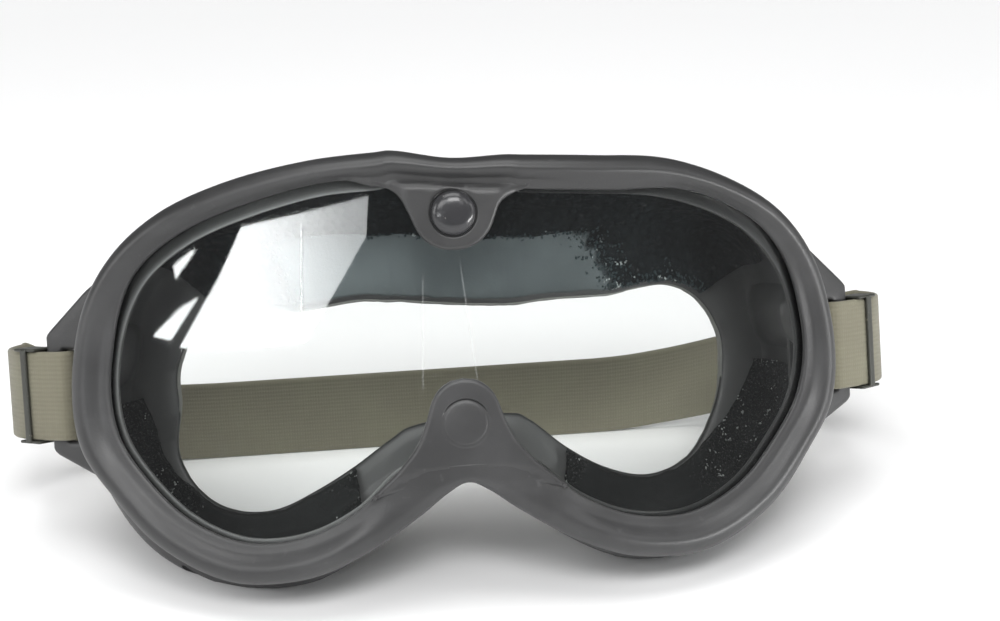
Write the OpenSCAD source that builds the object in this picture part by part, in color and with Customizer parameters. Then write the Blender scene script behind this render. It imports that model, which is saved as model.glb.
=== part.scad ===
// Dust goggles with a one-piece rubber frame, a bent one-piece lens held by two
// press snaps, and an elastic webbing headband with a slide on each side.
// The goggles stand on a table as they are laid down: leaning back a little, on
// their two lower lobes and on the lower edge of the headband behind them.
// Local frame of the goggles: X to the wearer's left, Y backwards from the lens,
// Z up along the lens, origin on the lens at the nose snap.

/* [Lens] */
// Width of the lens sheet laid flat
lens_width = 184; // [170:1:198]
// Radius that the flat lens sheet is bent to
lens_radius = 175; // [150:1:220]
// Thickness of the lens sheet
lens_thick = 0.9; // [0.7:0.1:1.2]
// Free space before and behind the lens sheet in its groove
lens_gap = 0.2; // [0.15:0.05:0.3]
// Height of the top snap above the nose snap
snap_spacing = 49.3; // [46:0.1:53]

/* [Rubber frame] */
// Height of the front roll in front of the lens
roll_height = 4.2; // [3.4:0.1:5]
// Depth of the frame at the nose and brow centre
frame_depth = 31; // [28:0.5:34]
// Further depth of the frame at its sides
side_depth = 7; // [4:0.5:9]
// Wall of the rubber skirt
skirt_wall = 3.2; // [2.6:0.1:3.8]
// Thickness of the face flange
flange_thick = 2.6; // [2:0.1:3.2]
// Angle that the goggles lean back at
lean = 20; // [16:0.5:24]
// Depth that each lobe is pressed flat by where it rests
rest_flat = 0.4; // [0.3:0.05:0.6]

/* [Wings] */
// Thickness of a wing plate
wing_thick = 3; // [2.4:0.1:3.4]
// Width of the bar that the webbing goes round
wing_bar = 5; // [4.4:0.1:5.6]
// Width of the slot for the webbing
slot_w = 4.6; // [4.2:0.1:5]
// Height of the slot for the webbing
slot_h = 24.2; // [23.4:0.1:25]
// Height of the strap above the nose snap
strap_level = 8.5; // [7:0.5:11]

/* [Flaps] */
// Thickness of a snap flap
flap_thick = 2.4; // [2.2:0.1:2.8]
// Gap between a flap and the lens
flap_gap = 0.3; // [0.2:0.05:0.5]
// Radius of the rounded end of the nose flap
nose_tip_r = 8.3; // [7.6:0.1:8.8]
// Radius of the rounded end of the top flap
top_tip_r = 8.2; // [7.6:0.1:8.8]

/* [Snaps] */
// Radius of a snap cap
cap_r = 5.9; // [5.2:0.1:6]
// Height of the domed top cap
top_dome = 1.8; // [1.4:0.1:2.2]
// Height of the flatter nose cap
nose_dome = 0.9; // [0.7:0.1:1.2]
// Radius of the hole in the lens for a stud
lens_hole_r = 2.8; // [2.6:0.1:3]
// Radius of a stud's head
stud_r = 2.1; // [1.9:0.1:2.2]

/* [Headband] */
// Width of the webbing
web_w = 22.2; // [21:0.2:22.8]
// Thickness of the webbing
web_t = 1.5; // [1.2:0.1:1.7]
// Radius that the webbing bends with beside each wing
bend_r = 24; // [22:0.5:26]
// Distance of the headband's back from the nose snap
back_y = 79.5; // [74:0.5:90]

/* [Slides] */
// Angle from the widest point of the headband to the slide at rest
slide_angle = 42; // [38:1:43]
// Angle that a slide travels round the bend
slide_travel = 52; // [30:1:54]
// Width of the slide's front bar
front_bar_w = 3.4; // [2.8:0.1:3.8]
// Thickness of the slide's metal
slide_metal = 1.3; // [1.1:0.1:1.5]
// Spacing of the slide's two rear bars
rear_bar_space = 6.8; // [6.4:0.1:7.2]

/* [Linings] */
// Thickness of the felt on the face flange
felt_thick = 2; // [1.5:0.1:2.6]
// Thickness of the foam filters
foam_thick = 3; // [2:0.2:3.6]

/* [Hidden] */
$fn = 48;

rubber_col = [0.2, 0.2, 0.21];
metal_col = [0.13, 0.13, 0.14];
web_col = [0.5, 0.49, 0.38];

// Everything that has no size of its own goes with the width of the lens sheet, and
// the upper part of the outline goes with the height of the top snap.
unit = lens_width / 184;
stretch = snap_spacing / 49.3;

// Control rows of the right half, from the top centre round to the nose centre.
// Each row: lens opening [across, up], outer edge of the roll [across, up], how far
// the lens sheet runs past the opening, stance of the skirt at mid depth and at
// the rear, measured from the roll's outer edge, and inset of the face opening.
half_rows = [
    [0, 57, 0, 62, 1.8, -3, -13, 30],
    [12.5, 57.2, 12.5, 63.4, 2, -3, -13, 30],
    [17.5, 55.2, 18.7, 64, 4, -3, -13, 29],
    [32, 54.3, 34, 62.8, 4.5, -3, -12, 28.5],
    [50, 51, 53, 59.3, 4.5, -2.5, -10, 27],
    [65, 45.4, 70.8, 53.4, 4.5, -1.5, -7, 24],
    [77, 37.4, 84.7, 43.3, 4.5, -0.5, -4, 18.5],
    [84, 26, 94, 29.8, 4.5, 0, -2, 13],
    [87.2, 12, 98.3, 12, 4.5, 0.5, -1, 9],
    [85.6, -0.5, 96.9, -3.4, 4.5, 3, 1, 8],
    [78.5, -11, 88.2, -15.4, 4.5, 5.5, 3, 5.5],
    [68, -20.6, 76.4, -27.4, 4.5, 5.5, 2, 4],
    [54.5, -26.2, 58.9, -35.8, 4.5, 3.5, -1.5, 5.5],
    [40, -25.6, 40.5, -35.7, 4.5, 3, -2, 7.5],
    [27, -20, 25.5, -30.2, 4.5, 1.5, -3, 8.5],
    [16.6, -11.4, 12.6, -22.2, 4.2, 0, -2, 7.5],
    [9.5, -9.9, 5.2, -16.8, 1.6, 0, 0, 9],
    [0, -9.8, 0, -14.4, -2.6, 0, 0, 8]];
half_count = len(half_rows) - 1;
row_count = 2 * half_count;
ring_steps = 2;
ring_count = row_count * ring_steps;

function mirror_row(r) = [-r[0], r[1], -r[2], r[3], r[4], r[5], r[6], r[7]];
function level(v) = v > 0 ? v * stretch : v * unit;
function scaled_row(r) = [r[0] * unit, level(r[1]), r[2] * unit, level(r[3]), r[4] * unit, r[5] * unit,
    r[6] * unit, r[7] * unit];
function control(i) = let(k = (i + row_count) % row_count)
    scaled_row(k <= half_count ? half_rows[k] : mirror_row(half_rows[row_count - k]));
// Smooth curve through the control rows, with t between row i and row i + 1
function smooth(a, b, c, d, t) = 0.5 * (2 * b + (c - a) * t + (2 * a - 5 * b + 4 * c - d) * t * t
    + (3 * b - a - 3 * c + d) * t * t * t);
function row_at(s) = let(i = floor(s), t = s - i)
    smooth(control(i - 1), control(i), control(i + 1), control(i + 2), t);

// A point of the frame's profile: n outwards from the lens opening along the lens,
// d backwards from the lens's front face
sheet_depth = 6 * unit;
rear_turn = 0.25;
function bent(u, v, d) = let(a = u / lens_radius * 180 / PI, near = min(d, sheet_depth),
    far = max(d - sheet_depth, 0))
    [lens_radius * sin(a) - near * sin(a) - far * sin(a * rear_turn),
     lens_radius * (1 - cos(a)) + near * cos(a) + far * cos(a * rear_turn), v];
function roll_width(r) = norm([r[2] - r[0], r[3] - r[1]]);
function placed(r, n, d) = let(w = roll_width(r), e = [r[2] - r[0], r[3] - r[1]] / w)
    bent(r[0] + n * e[0], r[1] + n * e[1], d);
function rear_depth(r) = frame_depth + side_depth * pow(r[0] / (87 * unit), 2);

// Profile of the moulding, as [n, d] pairs, from the front lip over the roll, down
// the outside of the skirt, round the face flange and back up the inside
groove_back = lens_thick + lens_gap + 0.1;
lip = roll_height / 4.2;
function crest(w) = lip * min(1, w / (8.5 * unit));
function moulding(r) =
    let(w = roll_width(r), dr = rear_depth(r), k = crest(w), m = w + r[5], h = w + r[6], q = r[7],
        g = max(r[4] + 0.4 * unit, unit), f = flange_thick, s = skirt_wall,
        mid = 0.4 * m + 0.6 * h + 0.6 * unit, waist = 0.5 * (0.84 * w + m))
    [[0, -lens_gap], [0, -1.2 * k], [0.14 * w, -1.7 * k], [0.24 * w, -1.5 * k], [0.38 * w, -3.2 * k],
     [0.58 * w, -4.2 * k], [0.78 * w, -3.6 * k], [0.93 * w, -1.9 * k], [w, 0.4 * unit],
     [0.99 * w, 3.2 * unit], [0.92 * w, 5.4 * unit], [0.84 * w, 7 * unit], [waist, 10.5 * unit],
     [m, 16 * unit], [mid, 0.75 * dr],
     [h, dr - 1.35 * f], [h - 0.6 * f, dr - 0.4 * f], [h - 1.6 * f, dr], [unit - q, dr], [-q, dr - 0.5 * f],
     [unit - q, dr - f], [h - s - f, dr - 1.15 * f], [h - s - 0.15 * f, dr - 2.1 * f], [mid - s, 0.72 * dr],
     [m - s, 15 * unit], [waist - s, 9 * unit], [min(w - 4.6 * unit, 0.5 * w + unit), 4.4 * unit],
     [-0.6 * unit, groove_back + 2 * unit], [-1.3 * unit, groove_back + 1.15 * unit],
     [-1.3 * unit, groove_back], [g, groove_back], [g, -lens_gap]];

// Closed or open tube of quads between rings of points that are listed alike
function quad(a, b, c, d) = [[a, b, c], [a, c, d]];
function loop_faces(rings, size) = [for (i = [0:rings - 1], j = [0:size - 1])
    let(i2 = (i + 1) % rings, j2 = (j + 1) % size)
    each quad(i * size + j, i * size + j2, i2 * size + j2, i2 * size + j)];
function strip_faces(rings, size) = [
    each [for (i = [0:rings - 2], j = [0:size - 1]) let(j2 = (j + 1) % size)
        each quad(i * size + j, i * size + j2, (i + 1) * size + j2, (i + 1) * size + j)],
    each [for (j = [1:size - 2]) [0, j + 1, j]],
    each [for (j = [1:size - 2]) let(e = (rings - 1) * size) [e, e + j, e + j + 1]]];

// Height of the nose snap above the table, from the lowest point of the lobes
function stand_height(p) = p[1] * sin(lean) - p[2] * cos(lean);
moulding_rings = [for (k = [0:ring_count - 1]) let(r = row_at(k / ring_steps))
    [for (q = moulding(r)) placed(r, q[0], q[1])]];
lift = max([for (ring = moulding_rings, p = ring) stand_height(p)]) - rest_flat;
// Front and back of the whole, which set the middle of the base
function reach(p) = p[1] * cos(lean) + p[2] * sin(lean);
front_y = min([for (ring = moulding_rings, p = ring) reach(p)]);
mid_y = 0.5 * (front_y + back_y + 0.5 * web_t);

function to_world(p) = [p[0], reach(p) - mid_y, lift - stand_height(p)];
module stand() {
    translate([0, -mid_y, lift]) rotate([-lean, 0, 0]) children();
}

// Wings
wing_root = [86.2, 33] * unit;
wing_dir = 35;
wing_len = 17.4 * unit;
wing_tip = wing_root + wing_len * [cos(wing_dir), sin(wing_dir)];
slot_from = wing_len - wing_bar - slot_w;
web_gap = 0.3;
loop_off = 0.5 * wing_thick + web_gap + 0.5 * web_t;
wing_normal = [sin(wing_dir), -cos(wing_dir)];
bend_start = wing_tip + loop_off * wing_normal;
bend_centre = bend_start - bend_r * wing_normal;

// Flaps
flap_mid = -flap_gap - 0.5 * flap_thick;
nose_root = -8.2 * unit;
nose_root_half = 14.6 * unit;
top_root = snap_spacing + 6 * stretch;
top_root_half = 12 * unit;

// Lugs behind the lens, which carry the studs
lug_front = lens_thick + 0.6;
lug_thick = 2.5 * unit;
lug_back = lug_front + lug_thick;

module color_rubber() {
    color(rubber_col) children();
}

module moulding_body() {
    polyhedron(points = [for (ring = moulding_rings) each ring],
        faces = loop_faces(ring_count, len(moulding_rings[0])), convexity = 10);
}

// A plate in the XZ plane between two depths
module plate(front, back, outline) {
    translate([0, back, 0]) rotate([90, 0, 0]) linear_extrude(back - front) polygon(outline);
}

function tip_arc(c, r, from, to, steps) = [for (i = [0:steps]) let(a = from + (to - from) * i / steps)
    [r * cos(a), c + r * sin(a)]];
nose_outline = concat(tip_arc(2.2 * unit, nose_tip_r, -12, 192, 24),
    [[-11.2, -3.2] * unit, [-nose_root_half, nose_root], [nose_root_half, nose_root], [11.2, -3.2] * unit]);
top_outline = concat(tip_arc(snap_spacing - 0.4 * unit, top_tip_r, 205, 335, 20),
    [[9.6 * unit, snap_spacing + 1.5 * unit], [top_root_half, top_root],
     [-top_root_half, top_root], [-9.6 * unit, snap_spacing + 1.5 * unit]]);
nose_lug_outline = concat(tip_arc(2.2 * unit, nose_tip_r - 0.9 * unit, -10, 190, 20),
    [[-9.5, -6] * unit, [-11, -13] * unit, [11, -13] * unit, [9.5, -6] * unit]);
top_lug_outline = concat(tip_arc(snap_spacing - 0.4 * unit, top_tip_r - 0.9 * unit, 205, 335, 16),
    [[9 * unit, snap_spacing + 2 * unit], [11 * unit, 59.2 * stretch],
     [-11 * unit, 59.2 * stretch], [-9 * unit, snap_spacing + 2 * unit]]);

module wing(side) {
    top = strap_level + 0.5 * slot_h;
    low = strap_level - 0.5 * slot_h;
    outline = [[0, top + 16 * unit], [3 * unit, top + 14.5 * unit],
        [wing_len - 1.2 * unit, top + 4 * unit], [wing_len, top + 2.8 * unit],
        [wing_len, low - 1.6 * unit], [wing_len - 1.2 * unit, low - 2.8 * unit],
        [4 * unit, low - 8 * unit], [0, low - 9 * unit]];
    mirror([side < 0 ? 1 : 0, 0, 0]) translate([wing_root[0], wing_root[1], 0]) rotate([0, 0, wing_dir])
        difference() {
            translate([0, 0.5 * wing_thick, 0]) rotate([90, 0, 0])
                linear_extrude(wing_thick) polygon(outline);
            translate([slot_from, -wing_thick, strap_level - 0.5 * slot_h])
                cube([slot_w, 2 * wing_thick, slot_h]);
        }
}

// Vent slots through the top and the bottom of the skirt
vent_len = 9 * unit;
vent_w = 3.6 * unit;
top_vents = [20, 36, 52] * unit;
low_vents = [31, 66] * unit;
top_vent_depth = 0.68 * frame_depth;
low_vent_depth = 17 * unit;
module vent(x, low, high, back) {
    y = lens_radius - sqrt(lens_radius * lens_radius - x * x) + back;
    translate([x - 0.5 * vent_len + 0.5 * vent_w, y, low]) linear_extrude(high - low) {
        circle(r = 0.5 * vent_w);
        translate([0, -0.5 * vent_w]) square([vent_len - vent_w, vent_w]);
        translate([vent_len - vent_w, 0]) circle(r = 0.5 * vent_w);
    }
}
module vents() {
    for (side = [-1, 1]) {
        for (x = top_vents) vent(side * x, 40 * stretch, 66 * stretch, top_vent_depth);
        for (x = low_vents) vent(side * x, -46 * unit, -22 * unit, low_vent_depth);
    }
}

module snap_hole(level) {
    translate([0, lug_front - 1, level]) rotate([-90, 0, 0])
        cylinder(r = barrel_r + 0.05, h = lug_thick + 2);
}

module rubber_frame() {
    color_rubber() difference() {
        stand() difference() {
            union() {
                moulding_body();
                wing(-1);
                wing(1);
                plate(lug_front, lug_back, nose_lug_outline);
                plate(lug_front, lug_back, top_lug_outline);
            }
            vents();
            snap_hole(0);
            snap_hole(snap_spacing);
        }
        translate([-lens_width, -lens_width, -20 * unit])
            cube([2 * lens_width, 2 * lens_width, 20 * unit]);
    }
}

// The lens is a bent sheet: part of a thin cylinder cut to the outline
function lens_edge(r) = let(w = roll_width(r), e = [r[2] - r[0], r[3] - r[1]] / w)
    [r[0] + r[4] * e[0], r[1] + r[4] * e[1]];
lens_outline = [for (k = [0:ring_count - 1]) let(p = lens_edge(row_at(k / ring_steps)))
    [lens_radius * sin(p[0] / lens_radius * 180 / PI), p[1]]];
module lens() {
    color([0.8, 0.85, 0.85, 0.4]) stand() intersection() {
        translate([0, lens_radius, -lens_width]) difference() {
            cylinder(r = lens_radius, h = 2 * lens_width, $fn = 360);
            translate([0, 0, -1]) cylinder(r = lens_radius - lens_thick, h = 2 * lens_width + 2, $fn = 360);
        }
        difference() {
            plate(-5, 0.25 * lens_width, lens_outline);
            for (z = [0, snap_spacing])
                translate([0, -6, z]) rotate([-90, 0, 0]) cylinder(r = lens_hole_r, h = 12 + lens_thick);
        }
    }
}

// A flap is a plate with a rounded root and holes for the snap's cap and socket
barrel_r = 1.6;
socket_r = 4.6;
socket_h = 1.5;
module flap(outline, level, root, half) {
    difference() {
        union() {
            plate(-flap_gap - flap_thick, -flap_gap, outline);
            translate([-half, flap_mid, root]) rotate([0, 90, 0])
                cylinder(r = 0.5 * flap_thick, h = 2 * half);
        }
        translate([0, -flap_gap - flap_thick - 1, level]) rotate([-90, 0, 0])
            cylinder(r = barrel_r + 0.1, h = flap_thick + 2);
        translate([0, -flap_gap - socket_h - 0.1, level]) rotate([-90, 0, 0])
            cylinder(r = socket_r + 0.1, h = socket_h + 1);
    }
}
module nose_flap() {
    color_rubber() stand() flap(nose_outline, 0, nose_root, nose_root_half);
}
module top_flap() {
    color_rubber() stand() flap(top_outline, snap_spacing, top_root, top_root_half);
}

// Snap pieces are turned about their own axis, with y backwards from the lens
module turned(level) {
    stand() translate([0, 0, level]) rotate([-90, 0, 0]) rotate_extrude() children();
}
cap_face = -flap_gap - flap_thick - 0.05;
function dome(r, h, steps) = let(big = (r * r + h * h) / (2 * h), half = asin(r / big))
    [for (i = [0:steps]) let(a = half * i / steps) [big * sin(a), cap_face - 0.6 - h + big * (1 - cos(a))]];
module snap_cap(level, height) {
    color(metal_col) turned(level)
        polygon(concat(dome(cap_r, height, 8), [[cap_r, cap_face], [barrel_r, cap_face],
            [barrel_r, -flap_gap - 0.35 * socket_h - 0.6], [0, -flap_gap - 0.35 * socket_h - 0.6]]));
}
module snap_socket(level) {
    color(metal_col) turned(level)
        polygon([[barrel_r + 0.05, -flap_gap - socket_h], [socket_r, -flap_gap - socket_h],
            [socket_r, -flap_gap], [stud_r + 0.6, -flap_gap], [stud_r + 0.6, -flap_gap - socket_h + 0.5],
            [barrel_r + 0.05, -flap_gap - socket_h + 0.5]]);
}
module snap_stud(level) {
    top = -flap_gap - 0.5 * socket_h + 0.1;
    color(metal_col) turned(level)
        polygon([[0, top], [stud_r - 0.4, top], [stud_r, top + 0.4], [stud_r - 0.3, 0.2],
            [stud_r - 0.3, lug_front - 0.5], [4.4, lug_front - 0.5], [4.4, lug_front],
            [barrel_r, lug_front], [barrel_r, lug_back], [1.05, lug_back],
            [1.05, lug_front - 0.1], [0, lug_front - 0.1]]);
}
module snap_post(level) {
    color(metal_col) turned(level)
        polygon([[0, lug_front], [1, lug_front], [1, lug_back + 0.05], [4.4, lug_back + 0.05],
            [4.2, lug_back + 0.6], [0, lug_back + 0.6]]);
}

// Linings: strips that follow the rings from one control row to another
function lining_rings(from, to, profile) = [for (k = [from * ring_steps:to * ring_steps])
    let(r = row_at(k / ring_steps)) [for (q = profile(r)) placed(r, q[0], q[1])]];
seat = 0.3;
function mid_stance(r) = 0.4 * (roll_width(r) + r[5]) + 0.6 * (roll_width(r) + r[6]) + 0.6 * unit;
brow_profile = function(r)
    let(h = roll_width(r) + r[6], dr = rear_depth(r), f = flange_thick, t = foam_thick,
        wall = mid_stance(r) - skirt_wall - seat,
        front = 0.67 * (roll_width(r) + r[5]) + 0.33 * mid_stance(r) - skirt_wall - seat,
        corner = h - skirt_wall - 0.15 * f - seat)
    [[front, 0.56 * dr], [wall, 0.72 * dr], [corner, dr - 2.15 * f - seat],
     [h - skirt_wall - f - 0.5 * seat, dr - 1.15 * f - seat],
     [1.2 * unit - r[7], dr - f - seat], [2 * unit - r[7], dr - f - seat - t],
     [h - skirt_wall - f - 0.7 * t, dr - 1.15 * f - seat - t],
     [corner - t, dr - 2.15 * f - seat - 0.5 * t], [wall - t, 0.72 * dr - 0.3 * t], [front - t, 0.56 * dr]];
cheek_profile = function(r)
    let(h = roll_width(r) + r[6], m = roll_width(r) + r[5], dr = rear_depth(r), f = flange_thick,
        t = foam_thick, wall = mid_stance(r) - skirt_wall - seat, corner = h - skirt_wall - 0.15 * f - seat,
        bend = h - skirt_wall - f, trim = 0.45 * max(0, r[1] + 17 * unit),
        edge = min(1.2 * unit - r[7] + trim, bend - t - 0.8 * unit))
    [[m - skirt_wall - seat - 0.4 * unit, 15 * unit], [wall, 0.72 * dr], [corner, dr - 2.15 * f - seat],
     [bend - 0.5 * seat, dr - 1.15 * f - seat], [edge, dr - f - seat],
     [edge + 0.8 * unit, dr - f - seat - t],
     [bend - 0.7 * t, dr - 1.15 * f - seat - t], [corner - t, dr - 2.15 * f - seat - 0.5 * t],
     [wall - t, 0.72 * dr - 0.3 * t], [m - skirt_wall - seat - t, 15 * unit]];
felt_profile = function(r)
    let(h = roll_width(r) + r[6], dr = rear_depth(r) + 0.15, f = flange_thick)
    [[h - 1.9 * f, dr], [h - 2.15 * f, dr + felt_thick],
     [0.4 * unit - r[7], dr + felt_thick], [0.2 * unit - r[7], dr]];
module lining(rings, col) {
    color(col) stand()
        polyhedron(points = [for (ring = rings) each ring], faces = strip_faces(len(rings), len(rings[0])),
            convexity = 6);
}
module brow_filter() {
    lining(lining_rings(-5, 5, brow_profile), [0.36, 0.43, 0.46]);
}
module right_cheek_filter() {
    lining(lining_rings(8.5, 14, cheek_profile), [0.2, 0.22, 0.23]);
}
module left_cheek_filter() {
    lining(lining_rings(-14, -8.5, cheek_profile), [0.2, 0.22, 0.23]);
}
module face_felt() {
    rings = lining_rings(0, row_count - 1 / ring_steps, felt_profile);
    color([0.35, 0.35, 0.33]) stand()
        polyhedron(points = [for (ring = rings) each ring], faces = loop_faces(len(rings), 4),
            convexity = 10);
}

// Headband. Its stations are [point, direction across the webbing], in the frame of
// the whole, from the hidden layer behind the right wing to the one behind the left.
up_local = [0, 0, 1];
function from_local(p) = to_world([p[0], p[1], strap_level]);
lean_up = [0, sin(lean), cos(lean)];
function on_wing(s, n) = wing_root + s * [cos(wing_dir), sin(wing_dir)] + n * wing_normal;
function on_bend(r, a) = bend_centre + r * [cos(a), sin(a)];
// The webbing goes round the bar on a small bend that clears the bar's corners
loop_r = loop_off;
loop_mid = wing_len - wing_bar + 0.5;
tail_r = bend_r - 2 * loop_off;
bend_turn = 90 - wing_dir;
bend_end = slide_travel - slide_angle + 12;
wing_path = concat(
    [for (a = [-bend_turn + 4, -bend_turn + 1]) on_bend(tail_r, a)],
    [on_wing(wing_len - 1, -loop_off), on_wing(loop_mid, -loop_off)],
    [for (a = [120:30:240]) on_wing(loop_mid + loop_r * cos(a), -loop_r * sin(a))],
    [on_wing(loop_mid, loop_off), on_wing(wing_len - 1, loop_off)],
    [for (i = [0:12]) on_bend(bend_r, -bend_turn + (bend_turn + bend_end) * i / 12)]);
// Points of the free back of the headband: across, back from its line, height, share of the lean
right_back = [[103, -4.3, 26, 0.8], [92, -0.9, 20, 0.5], [76, -0.1, 15.6, 0.2],
    [58, 0, 12.6, 0], [40, 0, 0, 0]];
left_back = [[-103.5, -4.3, 23.5, 0.7], [-94, -0.7, 15.5, 0.3], [-80, -0.1, 12, 0.1],
    [-62, 0, 0, 0], [-40, 0, 0, 0]];
function back_point(q) = [q[0] * unit, q[1] * unit + back_y - mid_y, max(q[2] * unit, 0.5 * web_w), q[3]];
function mirrored(list) = [for (i = [len(list) - 1:-1:0])
    [-list[i][0], list[i][1], list[i][2], list[i][3]]];
side_stations = [for (p = wing_path) let(w = from_local(p)) [w[0], w[1], w[2], 1]];
back_stations = concat([for (q = right_back) back_point(q)], [back_point([0, 0, 0, 0])],
    [for (i = [len(left_back) - 1:-1:0]) back_point(left_back[i])]);
fine_back = let(n = len(back_stations),
        all = concat([side_stations[len(side_stations) - 2], side_stations[len(side_stations) - 1]],
            back_stations, [mirrored(side_stations)[0], mirrored(side_stations)[1]]))
    [for (i = [1:n + 1], t = [0:0.25:0.75]) if (i > 1 || t > 0)
        let(p = smooth(all[i - 1], all[i], all[i + 1], all[i + 2], t))
        [p[0], p[1], max(p[2], 0.5 * web_w), max(p[3], 0)]];
stations = concat(side_stations, fine_back, mirrored(side_stations));
function station_up(s) = [0, sin(lean * s[3]), cos(lean * s[3])];
function unit(v) = v / norm(v);
function station_dir(i) =
    let(n = len(stations), a = stations[max(i - 1, 0)], b = stations[min(i + 1, n - 1)])
    unit([b[0] - a[0], b[1] - a[1], b[2] - a[2]]);
function station_ring(i) =
    let(s = stations[i], c = [s[0], s[1], s[2]], d = station_dir(i), u0 = station_up(s),
        across = unit(cross(d, u0)), u = u0, h = 0.5 * web_w * u, t = 0.5 * web_t * across)
    [c - h - t, c - h + t, c + h + t, c + h - t];
band_rings = [for (i = [0:len(stations) - 1]) station_ring(i)];
module headband() {
    color(web_col) polyhedron(points = [for (ring = band_rings) each ring],
        faces = strip_faces(len(band_rings), 4), convexity = 10);
}

// A slide: two end plates, a flat front bar outside the webbing and two rear bars inside
rear_bar_r = 0.7;
front_r = bend_r + 0.5 * web_t + 0.2;
rear_r = bend_r - 0.5 * web_t - 0.3 - web_t - 0.15 - rear_bar_r;
rear_half = asin(0.5 * rear_bar_space / rear_r);
plate_low = 0.5 * web_w + 0.4;
module bar(r, a, size) {
    rotate([0, 0, a]) translate([r, 0, -plate_low - 0.5 * slide_metal]) cylinder(r = size,
        h = 2 * plate_low + slide_metal);
}
module slide_end(level) {
    half_angle = rear_half + 2.2;
    outline = concat([for (a = [-half_angle, half_angle]) (rear_r - rear_bar_r - 0.4) * [cos(a), sin(a)]],
        [for (a = [0.8 * half_angle, -0.8 * half_angle]) (front_r + slide_metal) * [cos(a), sin(a)]]);
    translate([0, 0, level]) linear_extrude(slide_metal) polygon(outline);
}
module slide_shape() {
    slide_end(plate_low);
    slide_end(-plate_low - slide_metal);
    translate([front_r, -0.5 * front_bar_w, -plate_low - 0.5 * slide_metal])
        cube([slide_metal, front_bar_w, 2 * plate_low + slide_metal]);
    bar(rear_r, -rear_half, rear_bar_r);
    bar(rear_r, rear_half, rear_bar_r);
}
module at_bend(side) {
    stand() mirror([side < 0 ? 1 : 0, 0, 0]) translate([bend_centre[0], bend_centre[1], strap_level])
        rotate([0, 0, -slide_angle]) children();
}
module left_slide() {
    color(metal_col) at_bend(-1) slide_shape();
}
module right_slide() {
    color(metal_col) at_bend(1) slide_shape();
}

// The sewn end of the webbing goes round the far rear bar and back between the bars
module sewn_shape() {
    inner_r = rear_bar_r + 0.15;
    outer_r = inner_r + web_t;
    run = 0.5 * rear_bar_space - 0.2;
    translate([0, 0, -0.5 * web_w]) linear_extrude(web_w) rotate(rear_half) translate([rear_r, 0]) {
        difference() {
            circle(r = outer_r);
            circle(r = inner_r);
            translate([-outer_r - 1, -outer_r - 1]) square([2 * outer_r + 2, outer_r + 1]);
        }
        translate([inner_r, -run]) square([web_t, run]);
        translate([-outer_r, -run - 1.4]) square([web_t, run + 1.4]);
    }
}
module left_sewn_end() {
    color(web_col) at_bend(-1) sewn_shape();
}
module right_sewn_end() {
    color(web_col) at_bend(1) sewn_shape();
}

module top_snap_cap() { snap_cap(snap_spacing, top_dome); }
module top_snap_socket() { snap_socket(snap_spacing); }
module top_snap_stud() { snap_stud(snap_spacing); }
module top_snap_post() { snap_post(snap_spacing); }
module nose_snap_cap() { snap_cap(0, nose_dome); }
module nose_snap_socket() { snap_socket(0); }
module nose_snap_stud() { snap_stud(0); }
module nose_snap_post() { snap_post(0); }

rubber_frame();
lens();
top_flap();
nose_flap();
top_snap_cap();
top_snap_socket();
top_snap_stud();
top_snap_post();
nose_snap_cap();
nose_snap_socket();
nose_snap_stud();
nose_snap_post();
brow_filter();
left_cheek_filter();
right_cheek_filter();
face_felt();
headband();
left_slide();
right_slide();
left_sewn_end();
right_sewn_end();
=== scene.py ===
"""Dust goggles: a rubber frame, a bent lens on two press snaps and a headband with a slide at each side."""

import logging
import math
from collections.abc import Callable, Sequence
from dataclasses import dataclass, field
from enum import Enum

import bmesh
import bpy
import numpy as np
from mathutils import Matrix, Vector, noise
from mathutils.geometry import delaunay_2d_cdt
from mathutils.kdtree import KDTree


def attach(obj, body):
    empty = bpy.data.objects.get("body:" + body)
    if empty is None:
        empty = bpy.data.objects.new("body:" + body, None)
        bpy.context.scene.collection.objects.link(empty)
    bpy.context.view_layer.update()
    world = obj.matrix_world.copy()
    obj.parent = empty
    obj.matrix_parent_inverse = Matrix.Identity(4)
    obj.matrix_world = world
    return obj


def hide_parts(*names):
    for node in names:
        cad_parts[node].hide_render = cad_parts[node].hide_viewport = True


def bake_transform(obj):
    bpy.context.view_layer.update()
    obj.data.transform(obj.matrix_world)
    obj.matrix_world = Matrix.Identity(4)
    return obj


Array = np.ndarray
Object = bpy.types.Object
Material = bpy.types.Material
Tree = bpy.types.NodeTree
Node = bpy.types.Node
Socket = bpy.types.NodeSocket
Colour = tuple[float, float, float]
Spot = tuple[float, float, float]

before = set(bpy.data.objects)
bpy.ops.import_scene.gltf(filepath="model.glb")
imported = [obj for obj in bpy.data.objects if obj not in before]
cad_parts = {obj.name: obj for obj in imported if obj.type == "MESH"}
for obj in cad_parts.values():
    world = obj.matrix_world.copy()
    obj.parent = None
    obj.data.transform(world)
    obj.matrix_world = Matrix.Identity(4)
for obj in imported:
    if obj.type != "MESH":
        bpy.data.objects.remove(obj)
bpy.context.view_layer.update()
LOG = logging.getLogger("goggles")
MM = 0.001

# The bent lens's radius, the height of the top snap over the nose snap, the frame's depth at the middle,
# what the sides add to it, and the webbing's width, in millimetres.
LENS_RADIUS = 175.0
SNAP_LEVEL = 49.3
MIDDLE_DEPTH = 31.0
SIDE_DEPTH = 7.0
WEB_WIDTH = 22.2

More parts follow.
